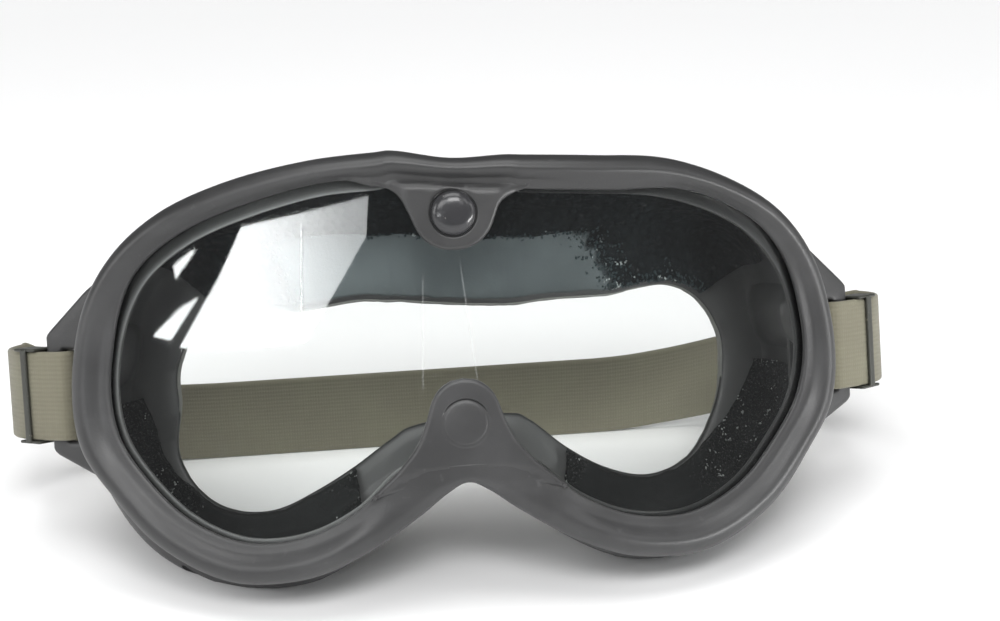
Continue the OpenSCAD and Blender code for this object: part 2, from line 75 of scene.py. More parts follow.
# Control rows of the frame's right half, from the top centre round to the nose centre, in millimetres: the
# lens's opening [across, up], the outer edge of the roll [across, up], how far the lens runs past the
# opening, the stance of the skirt at mid depth and at the rear, and the inset of the face opening.
HALF_ROWS = np.array([
    [0, 56.0, 0, 62.1, 1.8, -3, -13, 30], [12.5, 56.2, 12.5, 63.3, 2, -3, -13, 30],
    [17.5, 55.2, 17.9, 63.1, 4, -3, -13, 29], [32, 54.3, 34, 62.0, 4.5, -3, -12, 28.5],
    [50, 51, 53, 59.3, 4.5, -2.5, -10, 27], [65, 45.4, 70.8, 52.9, 4.5, -1.5, -7, 24],
    [77, 37.4, 84.7, 43.3, 4.5, -0.5, -4, 18.5], [84, 26, 94, 29.8, 4.5, 0, -2, 13],
    [87.2, 12, 98.3, 12, 4.5, 0.5, -1, 9], [85.6, -0.5, 96.9, -3.4, 4.5, 3, 1, 8],
    [78.5, -11, 88.2, -15.4, 4.5, 5.5, 3, 5.5], [68, -20.6, 76.4, -27.4, 4.5, 5.5, 2, 4],
    [54.5, -26.2, 58.9, -35.8, 4.5, 3.5, -1.5, 5.5], [40, -25.6, 40.5, -35.7, 4.5, 3, -2, 7.5],
    [27, -20, 25.5, -30.2, 4.5, 1.5, -3, 8.5], [16.6, -11.4, 12.6, -22.2, 4.2, 0, -2, 7.5],
    [9.5, -9.9, 5.2, -16.8, 1.6, 0, 0, 9], [0, -9.8, 0, -14.4, -2.6, 0, 0, 8]])

# How much the soft brow stands higher on the left than its middle, and lower on the right, in millimetres.
BROW_SET = 1.3
# The left lobe's own insets of the face opening, and how much further out its skirt stands, in millimetres.
LEFT_INSETS = (7.0, 5.0, 7.2, 6.5, 2.4, -1.6, -0.3, 7.6, 9.3)
LEFT_SPREAD = (0.5, 1.3, 2.5, 3.0, 2.0, 0.7)
# How much narrower the roll is from the brow round the upper right corner, in millimetres.
RIGHT_SLIM = (-0.3, 0.3, 1.1, 1.2, 2.1, 1.8, 0.6)


def brow_set(across: Array) -> Array:
    """How far the brow is set over at each place across."""
    return BROW_SET * np.sin(np.clip(across / 17.9, -1, 1) * math.pi / 2)


class Body(str, Enum):
    """The bodies that the pieces ride on."""

    GOGGLES = "goggles"
    TOP_FLAP = "top_flap"
    NOSE_FLAP = "nose_flap"
    LEFT_SLIDE = "left_slide"
    RIGHT_SLIDE = "right_slide"


class Side(Enum):
    """A side of the goggles as the picture shows it."""

    LEFT = -1
    RIGHT = 1

    def slide(self) -> Body:
        """The body of the slide at this side."""
        return Body.LEFT_SLIDE if self is Side.LEFT else Body.RIGHT_SLIDE

    def word(self) -> str:
        """The side's name as the pieces carry it."""
        return self.name.lower()


@dataclass(frozen=True)
class Stance:
    """How the goggles stand: leaning back, with the nose snap above the table."""

    lean: float = math.radians(20.0)
    lift: float = 46.107
    mid_y: float = 34.564

    def to_row(self, points: Array) -> Array:
        """Moves points of the lens's own frame to the row frame.

        Args:
            points: places as [across, back, up] in millimetres.

        Returns:
            The places in metres.
        """
        p = np.asarray(points, float)
        c, s = math.cos(self.lean), math.sin(self.lean)
        across, back, up = p[..., 0], p[..., 1], p[..., 2]
        return np.stack([across, back * c + up * s - self.mid_y, self.lift - back * s + up * c], -1) * MM

    def up(self) -> Array:
        """The direction up along the lens, in the row frame."""
        return np.array([0.0, math.sin(self.lean), math.cos(self.lean)])


STANCE = Stance()


def between(a: Array, b: Array, c: Array, d: Array, t: Array) -> Array:
    """The smooth curve from b to c.

    Args:
        a: the point before b.
        b: where the curve starts.
        c: where it ends.
        d: the point after c.
        t: the share of the way.

    Returns:
        The places at t.
    """
    line = 2 * b + (c - a) * t
    return 0.5 * (line + (2 * a - 5 * b + 4 * c - d) * t * t + (3 * b - a - 3 * c + d) * t**3)


def catmull(points: Array, steps: int, closed: bool = False) -> Array:
    """Puts a smooth curve through points.

    Args:
        points: one row for each point.
        steps: pieces between two neighbours.
        closed: whether the last point joins the first.

    Returns:
        The finer list of points.
    """
    p = np.asarray(points, float)
    if closed:
        a, b, c, d = np.roll(p, 1, 0), p, np.roll(p, -1, 0), np.roll(p, -2, 0)
    else:
        q = np.concatenate([2 * p[:1] - p[1:2], p, 2 * p[-1:] - p[-2:-1]])
        a, b, c, d = q[:-3], q[1:-2], q[2:-1], q[3:]
    t = (np.arange(steps) / steps)[None, :, None]
    a, b, c, d = (v[:, None] for v in (a, b, c, d))
    fine = between(a, b, c, d, t).reshape(-1, p.shape[1])
    return fine if closed else np.concatenate([fine, p[-1:]])


def unit(v: Array) -> Array:
    """Directions of length one along the vectors in v."""
    v = np.asarray(v, float)
    return v / np.maximum(np.linalg.norm(v, axis=-1, keepdims=True), 1e-9)


def smoothstep(low: float, high: float, x: Array) -> Array:
    """A soft step from 0 at low to 1 at high."""
    t = np.clip((np.asarray(x, float) - low) / (high - low), 0, 1)
    return t * t * (3 - 2 * t)


def fillet(points: Sequence[Sequence[float]], radius: float, steps: int = 5) -> Array:
    """Rounds the corners of a closed polygon.

    Args:
        points: corners as [x, y].
        radius: how far from each corner the bend starts.
        steps: pieces of each bend.

    Returns:
        The rounded outline.
    """
    p = np.asarray(points, float)
    out = []
    for i, here in enumerate(p):
        before, after = p[i - 1] - here, p[(i + 1) % len(p)] - here
        cut = min(radius, 0.45 * np.linalg.norm(before), 0.45 * np.linalg.norm(after))
        a, b = here + unit(before) * cut, here + unit(after) * cut
        out += [(1 - t) ** 2 * a + 2 * t * (1 - t) * here + t * t * b for t in np.linspace(0, 1, steps + 1)]
    return np.array(out)


def inside(points: Array, loop: Array) -> Array:
    """Whether each point lies in a closed polygon.

    Args:
        points: flat places.
        loop: the polygon's corners.

    Returns:
        True where a point is inside.
    """
    x, y = points[:, 0][:, None], points[:, 1][:, None]
    x1, y1 = loop[:, 0][None], loop[:, 1][None]
    x2, y2 = np.roll(loop[:, 0], -1)[None], np.roll(loop[:, 1], -1)[None]
    cross = (y1 > y) != (y2 > y)
    at = x1 + (y - y1) * (x2 - x1) / np.where(y2 == y1, 1e-12, y2 - y1)
    return (np.sum(cross & (x < at), axis=1) % 2) == 1


def nearest(points: Array, others: Array) -> Array:
    """The distance from each point to the nearest of the others.

    Args:
        points: flat places.
        others: the places to measure to.

    Returns:
        One distance for each point.
    """
    return np.min(np.linalg.norm(points[:, None] - others[None], axis=2), axis=1)


def per_point(mesh: bpy.types.Mesh, what: str = "co") -> Array:
    """A vector for each point of a mesh.

    Args:
        mesh: the mesh.
        what: co for the places, normal for the normals.

    Returns:
        One row for each point.
    """
    values = np.zeros(len(mesh.vertices) * 3)
    mesh.vertices.foreach_get(what, values)
    return values.reshape(-1, 3)


def linked(name: str, data: bpy.types.ID) -> Object:
    """Makes an object of data and links it to the scene.

    Args:
        name: its name.
        data: its mesh, camera or lamp.

    Returns:
        The object.
    """
    obj = bpy.data.objects.new(name, data)
    bpy.context.scene.collection.objects.link(obj)
    return obj


class Outline:
    """The closed ring of rows that the frame, the lens and the linings follow."""

    def __init__(self) -> None:
        """Mirrors the half rows to the whole ring."""
        flip = np.array([-1, 1, -1, 1, 1, 1, 1, 1])
        self.rows = np.concatenate([HALF_ROWS, HALF_ROWS[-2:0:-1] * flip])
        across, brow = self.rows[:, 2], self.rows[:, 3] > 45
        shift = brow_set(across) * (1 - 0.7 * smoothstep(34, 53, np.abs(across))) * brow
        self.rows[:, 1] -= shift
        self.rows[:, 3] -= shift
        slim, turned = np.array(RIGHT_SLIM)[:, None], self.rows[3:10]
        turned[:, :2] += slim * unit(turned[:, 2:4] - turned[:, :2])
        turned[:, 4:5] -= slim
        turned[:, 7:8] += slim
        self.rows[18:27, 7] = LEFT_INSETS
        self.rows[21:27, 5] += LEFT_SPREAD
        self.rows[21:27, 6] += LEFT_SPREAD

    def at(self, s: Array) -> Array:
        """Rows at places s along the ring, counted in control rows.

        Args:
            s: the places.

        Returns:
            One row for each.
        """
        s = np.asarray(s, float)
        i = np.floor(s).astype(int)
        t = (s - i)[:, None]
        a, b, c, d = (self.rows[(i + k) % len(self.rows)] for k in (-1, 0, 1, 2))
        return between(a, b, c, d, t)

    @staticmethod
    def width(r: Array) -> Array:
        """Width of the roll at each row."""
        return np.hypot(r[:, 2] - r[:, 0], r[:, 3] - r[:, 1])

    @staticmethod
    def depth(r: Array) -> Array:
        """Depth of the frame at each row."""
        return MIDDLE_DEPTH + SIDE_DEPTH * (r[:, 0] / 87.0) ** 2

    @staticmethod
    def bent(u: Array, v: Array, d: Array, radius: float = LENS_RADIUS) -> Array:
        """Bends flat places to the lens's curve.

        Args:
            u: way across along the lens.
            v: height.
            d: depth behind the lens's front face.
            radius: radius of the lens.

        Returns:
            Places in the lens's own frame.
        """
        a = u / radius
        near, far = np.minimum(d, 6.0), np.maximum(d - 6.0, 0.0)
        x = radius * np.sin(a) - near * np.sin(a) - far * np.sin(0.25 * a)
        y = radius * (1 - np.cos(a)) + near * np.cos(a) + far * np.cos(0.25 * a)
        return np.stack([x, y, v], -1)

    def placed(self, r: Array, profile: Array) -> Array:
        """Places profiles on the rows.

        Args:
            r: rows.
            profile: [row, point, (outwards, back)].

        Returns:
            The points in the lens's own frame.
        """
        e = np.stack([r[:, 2] - r[:, 0], r[:, 3] - r[:, 1]], -1) / self.width(r)[:, None]
        u = r[:, None, 0] + profile[..., 0] * e[:, None, 0]
        v = r[:, None, 1] + profile[..., 0] * e[:, None, 1]
        return self.bent(u, v, profile[..., 1])


OUTLINE = Outline()


class Solid:
    """Collects the points and faces of one piece, in metres of the row frame."""

    def __init__(self, name: str) -> None:
        """Starts an empty piece called name.

        Args:
            name: its name.
        """
        self.name = name
        self.points: list[Array] = []
        self.faces: list[list[int]] = []
        self.uv: dict[int, tuple[float, float]] = {}
        self.count = 0

    def add(self, points: Array, faces: Sequence[Sequence[int]]) -> int:
        """Adds a shell.

        Args:
            points: places, one row each.
            faces: indices into points.

        Returns:
            The index of the shell's first point.
        """
        start = self.count
        self.points.append(np.asarray(points, float).reshape(-1, 3))
        self.faces += [[start + int(i) for i in f] for f in faces]
        self.count += len(self.points[-1])
        return start

    def loft(self, rings: Array, closed: bool) -> int:
        """Adds a tube of rings, closed on itself or with flat ends.

        Args:
            rings: [ring, point, 3], turning so that the faces point outwards.
            closed: whether the last ring joins the first.

        Returns:
            The index of the first point.
        """
        k, n = rings.shape[:2]
        faces: list[list[int]] = []
        for i in range(k if closed else k - 1):
            a, b = i * n, ((i + 1) % k) * n
            faces += [[a + j, a + (j + 1) % n, b + (j + 1) % n, b + j] for j in range(n)]
        if not closed:
            faces += [list(range(n))[::-1], [(k - 1) * n + j for j in range(n)]]
        return self.add(rings.reshape(-1, 3), faces)

    def mesh(self, sharp: float = 40.0) -> Object:
        """Makes the object.

        Args:
            sharp: edges that turn by more than this many degrees stay crisp.

        Returns:
            The linked object.
        """
        data = bpy.data.meshes.new(self.name)
        data.from_pydata(np.concatenate(self.points).tolist(), [], self.faces)
        data.update()
        data.shade_smooth()
        data.set_sharp_from_angle(angle=math.radians(sharp))
        return linked(self.name, data)


def outward(obj: Object) -> Object:
    """Turns the faces of a closed piece outwards.

    Args:
        obj: the piece.

    Returns:
        The same object.
    """
    bm = bmesh.new()
    bm.from_mesh(obj.data)
    bmesh.ops.recalc_face_normals(bm, faces=bm.faces)
    bm.to_mesh(obj.data)
    bm.free()
    return obj


def applied(obj: Object) -> Object:
    """Turns the result of the modifiers into the object's own mesh.

    Args:
        obj: the object.

    Returns:
        The same object, without modifiers.
    """
    graph = bpy.context.evaluated_depsgraph_get()
    old = obj.data
    obj.data = bpy.data.meshes.new_from_object(obj.evaluated_get(graph))
    obj.modifiers.clear()
    obj.data.name = obj.name
    if not old.users:
        bpy.data.meshes.remove(old)
    return obj


@dataclass
class Slab:
    """A plate with rounded edges, cut to an outline with holes.

    The outline turns anticlockwise and the holes clockwise, as seen from the front.
    """

    outer: Array
    front: float
    back: float
    edge: float
    holes: list[Array] = field(default_factory=list)
    inner: Array = field(default_factory=lambda: np.zeros((0, 2)))
    grid: float = 3.0
    relief: Callable[[Array], Array] | None = None
    steps: int = 4

    @staticmethod
    def shrunk(loop: Array, by: float) -> Array:
        """The loop moved into the material.

        Args:
            loop: the loop.
            by: how far.

        Returns:
            The new loop.
        """
        ahead, behind = unit(np.roll(loop, -1, 0) - loop), unit(loop - np.roll(loop, 1, 0))
        along = unit(ahead + behind)
        side = np.stack([-along[:, 1], along[:, 0]], -1)
        miter = np.clip(np.einsum("ij,ij->i", along, ahead), 0.6, 1)
        return loop + side * (by / miter)[:, None]

    def add_to(self, solid: Solid, place: Callable[[Array, Array], Array]) -> int:
        """Builds the plate into a piece.

        Args:
            solid: the piece.
            place: gives the row-frame place of flat points at depths.

        Returns:
            The index of the plate's first point.
        """
        loops = [self.outer, *self.holes]
        turns = np.linspace(0, math.pi / 2, self.steps + 1)
        e = self.edge
        stations = [(e * (1 - math.sin(t)), self.front + e * (1 - math.cos(t))) for t in turns]
        stations += [(e * (1 - math.cos(t)), self.back - e * (1 - math.sin(t))) for t in turns]
        flat, depth, faces, starts = [], [], [], []
        total = 0
        for loop in loops:
            n = len(loop)
            starts.append(total)
            for by, d in stations:
                flat.append(self.shrunk(loop, by))
                depth.append(np.full(n, d))
            for k in range(len(stations) - 1):
                a, b = total + k * n, total + (k + 1) * n
                faces += [[a + j, b + j, b + (j + 1) % n, a + (j + 1) % n] for j in range(n)]
            total += n * len(stations)
        caps = [self.shrunk(loop, self.edge) for loop in loops]
        low, high = caps[0].min(0), caps[0].max(0)
        xs, ys = (np.arange(low[i] + 0.5 * self.grid, high[i], self.grid) for i in (0, 1))
        inner = np.stack(np.meshgrid(xs, ys), -1).reshape(-1, 2)
        if len(self.inner):
            far = nearest(inner, self.inner) > 0.45 * self.grid
            inner = np.concatenate([inner[far], self.inner])
        keep = inside(inner, caps[0])
        for hole in caps[1:]:
            keep &= ~inside(inner, hole)
        rim = np.concatenate(caps)
        keep &= nearest(inner, rim) > 0.3 * min(self.grid, 1.0)
        inner = inner[keep]
        sizes = [len(c) for c in caps]
        edges, at = [], 0
        for n in sizes:
            edges += [(at + j, at + (j + 1) % n) for j in range(n)]
            at += n
        places = np.concatenate([rim, inner])
        result = delaunay_2d_cdt([Vector(p) for p in places], edges, [], 1, 1e-6)
        origin = [o[0] if o else -1 for o in result[3]]
        front_at, back_at = [], []
        for loop_i, n in enumerate(sizes):
            front_at += [starts[loop_i] + j for j in range(n)]
            back_at += [starts[loop_i] + (len(stations) - 1) * n + j for j in range(n)]
        flat += [inner, inner]
        depth += [np.full(len(inner), self.front), np.full(len(inner), self.back)]
        front_at += [total + j for j in range(len(inner))]
        back_at += [total + len(inner) + j for j in range(len(inner))]
        for f in result[2]:
            ids = [origin[i] for i in f]
            if min(ids) < 0:
                continue
            centre = places[ids].mean(0)[None]
            if any(inside(centre, c)[0] for c in caps[1:]):
                continue
            a, b, c = places[ids[0]], places[ids[1]], places[ids[2]]
            if (b[0] - a[0]) * (c[1] - a[1]) - (b[1] - a[1]) * (c[0] - a[0]) < 0:
                ids = ids[::-1]
            faces.append([front_at[i] for i in ids])
            faces.append([back_at[i] for i in ids[::-1]])
        flat_all, depth_all = np.concatenate(flat), np.concatenate(depth)
        if self.relief is not None:
            share = np.clip((self.back - depth_all) / (self.back - self.front), 0, 1)
            depth_all = depth_all + self.relief(flat_all) * share
        return solid.add(place(flat_all, depth_all), faces)


def upright(flat: Array, depth: Array) -> Array:
    """Places flat points on a plane behind or before the lens's middle."""
    return STANCE.to_row(np.stack([flat[:, 0], depth, flat[:, 1]], -1))


def on_lens(flat: Array, depth: Array) -> Array:
    """Places flat points along the bent lens."""
    return STANCE.to_row(OUTLINE.bent(flat[:, 0], flat[:, 1], depth))


def circle(x: float, y: float, r: float, n: int, clockwise: bool = False) -> Array:
    """A circle's points."""
    a = np.arange(n) / n * 2 * math.pi * (-1 if clockwise else 1)
    return np.stack([x + r * np.cos(a), y + r * np.sin(a)], -1)


# Materials


class Builder:
    """Adds nodes to a tree."""

    def __init__(self, tree: Tree) -> None:
        """Takes the tree to add to."""
        self.tree = tree

    def node(self, kind: str, settings: dict | None = None, inputs: dict | None = None) -> Node:
        """Adds a node.

        Args:
            kind: the node's type.
            settings: its own settings, set first.
            inputs: values or links of its sockets, by name or index.

        Returns:
            The node.
        """
        node = self.tree.nodes.new(kind)
        for key, value in (settings or {}).items():
            setattr(node, key, value)
        for key, value in (inputs or {}).items():
            value = value.socket if isinstance(value, Num) else value
            if isinstance(value, Socket):
                self.tree.links.new(value, node.inputs[key])
            else:
                node.inputs[key].default_value = value
        return node


class Num:
    """A number socket on which Python's operators add Math nodes."""

    def __init__(self, shader: "Shader", socket: Socket) -> None:
        """Wraps a socket of the shader's tree."""
        self.shader, self.socket = shader, socket

    def _math(self, operation: str, a: "Num | float", b: "Num | float", clamp: bool = False) -> "Num":
        """Adds one Math node."""
        settings = {"operation": operation, "use_clamp": clamp}
        return Num(self.shader, self.shader.node("ShaderNodeMath", settings, {0: a, 1: b}).outputs[0])

    def __add__(self, other: "Num | float") -> "Num":
        """self + other."""
        return self._math("ADD", self, other)

    def __radd__(self, other: float) -> "Num":
        """other + self."""
        return self._math("ADD", other, self)

    def __sub__(self, other: "Num | float") -> "Num":
        """self - other."""
        return self._math("SUBTRACT", self, other)

    def __rsub__(self, other: float) -> "Num":
        """other - self."""
        return self._math("SUBTRACT", other, self)

    def __mul__(self, other: "Num | float") -> "Num":
        """self * other."""
        return self._math("MULTIPLY", self, other)

    def __rmul__(self, other: float) -> "Num":
        """other * self."""
        return self._math("MULTIPLY", other, self)

    def sine(self) -> "Num":
        """The sine."""
        return self._math("SINE", self, 0.0)

    def above(self, low: float, high: float) -> "Num":
        """A soft step.

        Args:
            low: where it starts, at 0.
            high: where it ends, at 1.

        Returns:
            The step.
        """
        node = self.shader.node("ShaderNodeMapRange", {"interpolation_type": "SMOOTHSTEP"},
                                {0: self, 1: low, 2: high, 3: 0.0, 4: 1.0})
        return Num(self.shader, node.outputs[0])

    def clamped(self) -> "Num":
        """The number kept from 0 to 1."""
        return self._math("ADD", self, 0.0, clamp=True)


class Shader(Builder):
    """Builds the nodes of one material."""

    def __init__(self, name: str) -> None:
        """Starts a material with an empty tree.

        Args:
            name: the material's name.
        """
        self.material = bpy.data.materials.new(name)
        self.material.use_nodes = True
        super().__init__(self.material.node_tree)
        self.tree.nodes.clear()
        self._coords: dict[str, Socket] = {}

    def coords(self, kind: str = "Object",
               scale: tuple[float, float, float] = (1, 1, 1)) -> Socket:
        """Coordinates of a kind, stretched by scale.

        Args:
            kind: which of the texture coordinates.
            scale: the stretch along each axis.

        Returns:
            The socket.
        """
        key = f"{kind}{scale}"
        if key not in self._coords:
            source = self.node("ShaderNodeTexCoord").outputs[kind]
            mapping = self.node("ShaderNodeMapping", None, {"Vector": source, "Scale": scale})
            self._coords[key] = mapping.outputs[0]
        return self._coords[key]

    def noise(self, scale: float, detail: float = 3.0, rough: float = 0.55,
              where: Socket | None = None) -> Num:
        """Noise from 0 to 1, with its features 1/scale metres apart."""
        values = {"Vector": where or self.coords(), "Scale": scale, "Detail": detail, "Roughness": rough}
        return Num(self, self.node("ShaderNodeTexNoise", None, values).outputs[0])

    def axis(self, index: int, where: Socket) -> Num:
        """One coordinate of a vector."""
        return Num(self, self.node("ShaderNodeSeparateXYZ", None, {0: where}).outputs[index])

    def attribute(self, name: str) -> Num:
        """A number that the mesh itself carries."""
        return Num(self, self.node("ShaderNodeAttribute", {"attribute_name": name}).outputs["Fac"])

    def mix(self, factor: Num | float, a: object, b: object) -> Socket:
        """A mix of two colours."""
        a, b = (((*c, 1.0) if isinstance(c, tuple) and len(c) == 3 else c) for c in (a, b))
        return self.node("ShaderNodeMix", {"data_type": "RGBA"}, {0: factor, 6: a, 7: b}).outputs[2]

    def bump(self, height: Num, distance: float, strength: float = 1.0) -> Socket:
        """A normal from a height in shares of distance."""
        values = {"Height": height, "Distance": distance, "Strength": strength}
        return self.node("ShaderNodeBump", None, values).outputs[0]

    def principled(self, inputs: dict) -> Node:
        """A Principled shader."""
        return self.node("ShaderNodeBsdfPrincipled", None, inputs)

    def end(self, shader: Node) -> Material:
        """Joins a shader to the output and gives the material."""
        self.node("ShaderNodeOutputMaterial", None, {"Surface": shader.outputs[0]})
        return self.material


@dataclass(frozen=True)
class RubberFinish:
    """Moulded rubber with a satin bloom, finely grained and dusty in places; inside, light and shade are
    painted in.
    """

    name: str = "moulded_rubber"
    tone: Colour = (0.026, 0.026, 0.0265)
    bloom: Colour = (0.054, 0.054, 0.055)
    # Painted fill light: the inner walls are painted this lighter grey.
    inner: Colour = (0.12, 0.12, 0.12)
    # Painted highlight: the lip behind the lens is painted this pale grey.
    lip: Colour = (0.34, 0.34, 0.34)
    # Painted shade: the lens's groove is painted this near black.
    groove_painted_shade: Colour = (0.006, 0.006, 0.006)
    roughness: float = 0.4

    def material(self) -> Material:
        """Makes the material.

        Returns:
            The material.
        """
        s = Shader(self.name)
        cloud = s.noise(38.0, 4.0)
        streak = s.noise(60.0, 3.0, where=s.coords("Object", (0.4, 1.0, 2.2)))
        fine = s.noise(1500.0, 3.0, 0.6)
        grit = s.noise(420.0, 2.0).above(0.66, 0.74)
        mask = (cloud.above(0.45, 0.75) * 0.45 + streak.above(0.5, 0.8) * 0.25 + grit * 0.35).clamped()
        inside = s.attribute("inside")
        # The number inside paints light and shade: lighter inner walls, a pale lit lip and a dark groove.
        colour = s.mix(inside.clamped(), s.mix(mask, self.tone, self.bloom), self.inner)
        colour = s.mix((inside - 1.0).clamped(), colour, self.lip)
        colour = s.mix((inside * -1.0).clamped(), colour, self.groove_painted_shade)
        rough = self.roughness + cloud * 0.12 + grit * 0.1 - 0.06
        normal = s.bump(fine * 0.6 + s.noise(300.0, 2.0) * 0.4, 0.00012, 0.6)
        return s.end(s.principled({"Base Color": colour, "Roughness": rough, "Normal": normal}))


@dataclass(frozen=True)
class EnamelFinish:
    """Black enamel on pressed metal, worn through here and there."""

    name: str
    tone: Colour = (0.03, 0.03, 0.032)
    metal: Colour = (0.35, 0.34, 0.32)
    roughness: float = 0.3
    worn: float = 0.7

    def material(self) -> Material:
        """Makes the material.

        Returns:
            The material.
        """
        s = Shader(self.name)
        chips = s.noise(700.0, 4.0).above(self.worn, self.worn + 0.05)
        haze = s.noise(250.0, 3.0)
        colour = s.mix(chips, self.tone, self.metal)
        rough = self.roughness + haze * 0.15 + chips * 0.1
        normal = s.bump(s.noise(1200.0, 2.0), 0.00006, 0.5)
        return s.end(s.principled({"Base Color": colour, "Roughness": rough, "Metallic": chips,
                                   "Normal": normal}))


@dataclass(frozen=True)
class LensFinish:
    """Clear bent sheet with a little dust and a few wiping streaks."""

    name: str = "clear_sheet"
    gain: float = 1.0
    haze: float = 0.002

    @staticmethod
    def scratch(s: Shader, across: float, slope: float, low: float, high: float) -> Num:
        """A thin upright scratch.

        Args:
            s: the shader.
            across: where it crosses the height of 75 mm, in metres.
            slope: how far it leans for each metre up.
            low: its lower end.
            high: its upper end.

        Returns:
            One on the scratch.
        """
        where = s.coords()
        x, z = s.axis(0, where), s.axis(2, where)
        off = (x - across - (z - 0.075) * slope) * 1000.0
        line = 1.0 - (off * off).above(0.006, 0.05)
        return line * z.above(low - 0.003, low + 0.002) * (1.0 - z.above(high - 0.002, high + 0.002))

    def material(self) -> Material:
        """Makes the material.

        Returns:
            The material.
        """
        s = Shader(self.name)
        fresnel = Num(s, s.node("ShaderNodeFresnel", None, {"IOR": 1.5}).outputs[0])
        clear = s.node("ShaderNodeBsdfTransparent", None, {"Color": (0.955, 0.965, 0.96, 1)})
        mirror = s.principled({"Base Color": (0.95, 0.95, 0.95, 1), "Metallic": 1.0, "Roughness": 0.02})
        shine = (fresnel * self.gain).clamped()
        sheet = s.node("ShaderNodeMixShader", None, {0: shine, 1: clear.outputs[0], 2: mirror.outputs[0]})
        upright_streak = s.noise(55.0, 2.0, where=s.coords("Object", (3.0, 1.0, 0.12))).above(0.66, 0.8)
        dust = s.noise(900.0, 2.0).above(0.71, 0.76)
        film = s.noise(30.0, 3.0).above(0.45, 0.8)
        marks = self.scratch(s, -0.0365, 0.068, 0.068, 0.0905) * 0.3
        marks = marks + self.scratch(s, -0.0081, 0.063, 0.054, 0.078) * 0.07
        marks = marks + self.scratch(s, 0.0016, -0.094, 0.054, 0.08) * 0.07
        haze = (self.haze + film * 0.003 + upright_streak * 0.02 + dust * 0.05 + marks).clamped()
        white = s.principled({"Base Color": (0.75, 0.76, 0.76, 1), "Roughness": 0.9})
        both = s.node("ShaderNodeMixShader", None, {0: haze, 1: sheet.outputs[0], 2: white.outputs[0]})
        return s.end(both)


@dataclass(frozen=True)
class WebbingFinish:
    """Elastic webbing with lengthwise ribs, woven across with a finer thread."""

    name: str = "ribbed_webbing"
    tone: Colour = (0.176, 0.165, 0.118)
    shade: Colour = (0.13, 0.122, 0.085)
    rib: float = 0.0011
    pick: float = 0.0007

    def material(self) -> Material:
        """Makes the material.

        Returns:
            The material.
        """
        s = Shader(self.name)
        uv = s.coords("UV")
        along, across = s.axis(0, uv), s.axis(1, uv)
        ribs = (across * (2 * math.pi / self.rib)).sine() * 0.5 + 0.5
        picks = (along * (2 * math.pi / self.pick)).sine() * 0.5 + 0.5
        lines = s.noise(900.0, 2.0, where=s.coords("UV", (0.05, 1.0, 1.0)))
        cross = s.noise(800.0, 2.0, where=s.coords("UV", (1.0, 0.05, 1.0)))
        soil = s.noise(60.0, 4.0, where=uv)
        fuzz = s.noise(2600.0, 3.0)
        height = ribs * 0.3 + ribs * picks * 0.2 + cross * 0.35 + fuzz * 0.25
        lift = (ribs * 0.18 + picks * 0.1 + lines * 0.3 + cross * 0.45).clamped()
        colour = s.mix(soil.above(0.4, 0.8) * 0.35, s.mix(lift, self.shade, self.tone), (0.19, 0.19, 0.125))
        normal = s.bump(height, 0.00022, 0.8)
        return s.end(s.principled({"Base Color": colour, "Roughness": 0.88, "Normal": normal,
                                   "Sheen Weight": 0.15, "Sheen Roughness": 0.5}))


@dataclass(frozen=True)
class FoamFinish:
    """Old open foam: pores and crumbs, with a smooth skin where it is still whole."""

    name: str
    tone: Colour
    dark: Colour
    skin: Colour
    pore: float = 420.0

    def material(self) -> Material:
        """Makes the material.

        Returns:
            The material.
        """
        s = Shader(self.name)
        cell = s.node("ShaderNodeTexVoronoi", {"feature": "F1"}, {"Vector": s.coords(), "Scale": self.pore})
        pores = Num(s, cell.outputs[0]).above(0.15, 0.7)
        patch = s.noise(90.0, 4.0, 0.65)
        whole = (s.attribute("skin") + (patch - 0.5) * 0.5).above(0.4, 0.6)
        open_cells = s.mix((patch.above(0.35, 0.7) * 0.6 + pores * 0.35).clamped(), self.tone, self.dark)
        soft = s.mix(s.noise(40.0, 3.0).above(0.3, 0.75) * 0.4, self.skin, self.tone)
        colour = s.mix(whole, open_cells, soft)
        height = (1.0 - whole) * (patch * 0.5 - pores) + s.noise(1400.0, 2.0) * 0.15
        normal = s.bump(height, 0.0006, 0.9)
        return s.end(s.principled({"Base Color": colour, "Roughness": 0.9, "Normal": normal,
                                   "Specular IOR Level": 0.2}))


@dataclass(frozen=True)
class CrumbFinish:
    """Loose foam crumbs, some of them pale and shiny."""

    name: str = "foam_crumbs"
    tone: Colour = (0.022, 0.04, 0.046)
    pale: Colour = (0.5, 0.54, 0.54)
    share: float = 0.6

    def material(self) -> Material:
        """Makes the material.

        Returns:
            The material.
        """
        s = Shader(self.name)
        fleck = s.noise(330.0, 2.0).above(self.share, self.share + 0.06)
        colour = s.mix(fleck, self.tone, self.pale)
        return s.end(s.principled({"Base Color": colour, "Roughness": 0.45 - fleck * 0.15}))


@dataclass(frozen=True)
class ThreadFinish:
    """Olive sewing thread."""

    name: str = "sewing_thread"
    tone: Colour = (0.2, 0.19, 0.12)

    def material(self) -> Material:
        """Makes the material.

        Returns:
            The material.
        """
        s = Shader(self.name)
        twist = s.noise(3000.0, 2.0)
        colour = s.mix(twist, self.tone, (0.12, 0.115, 0.07))
        return s.end(s.principled({"Base Color": colour, "Roughness": 0.7}))


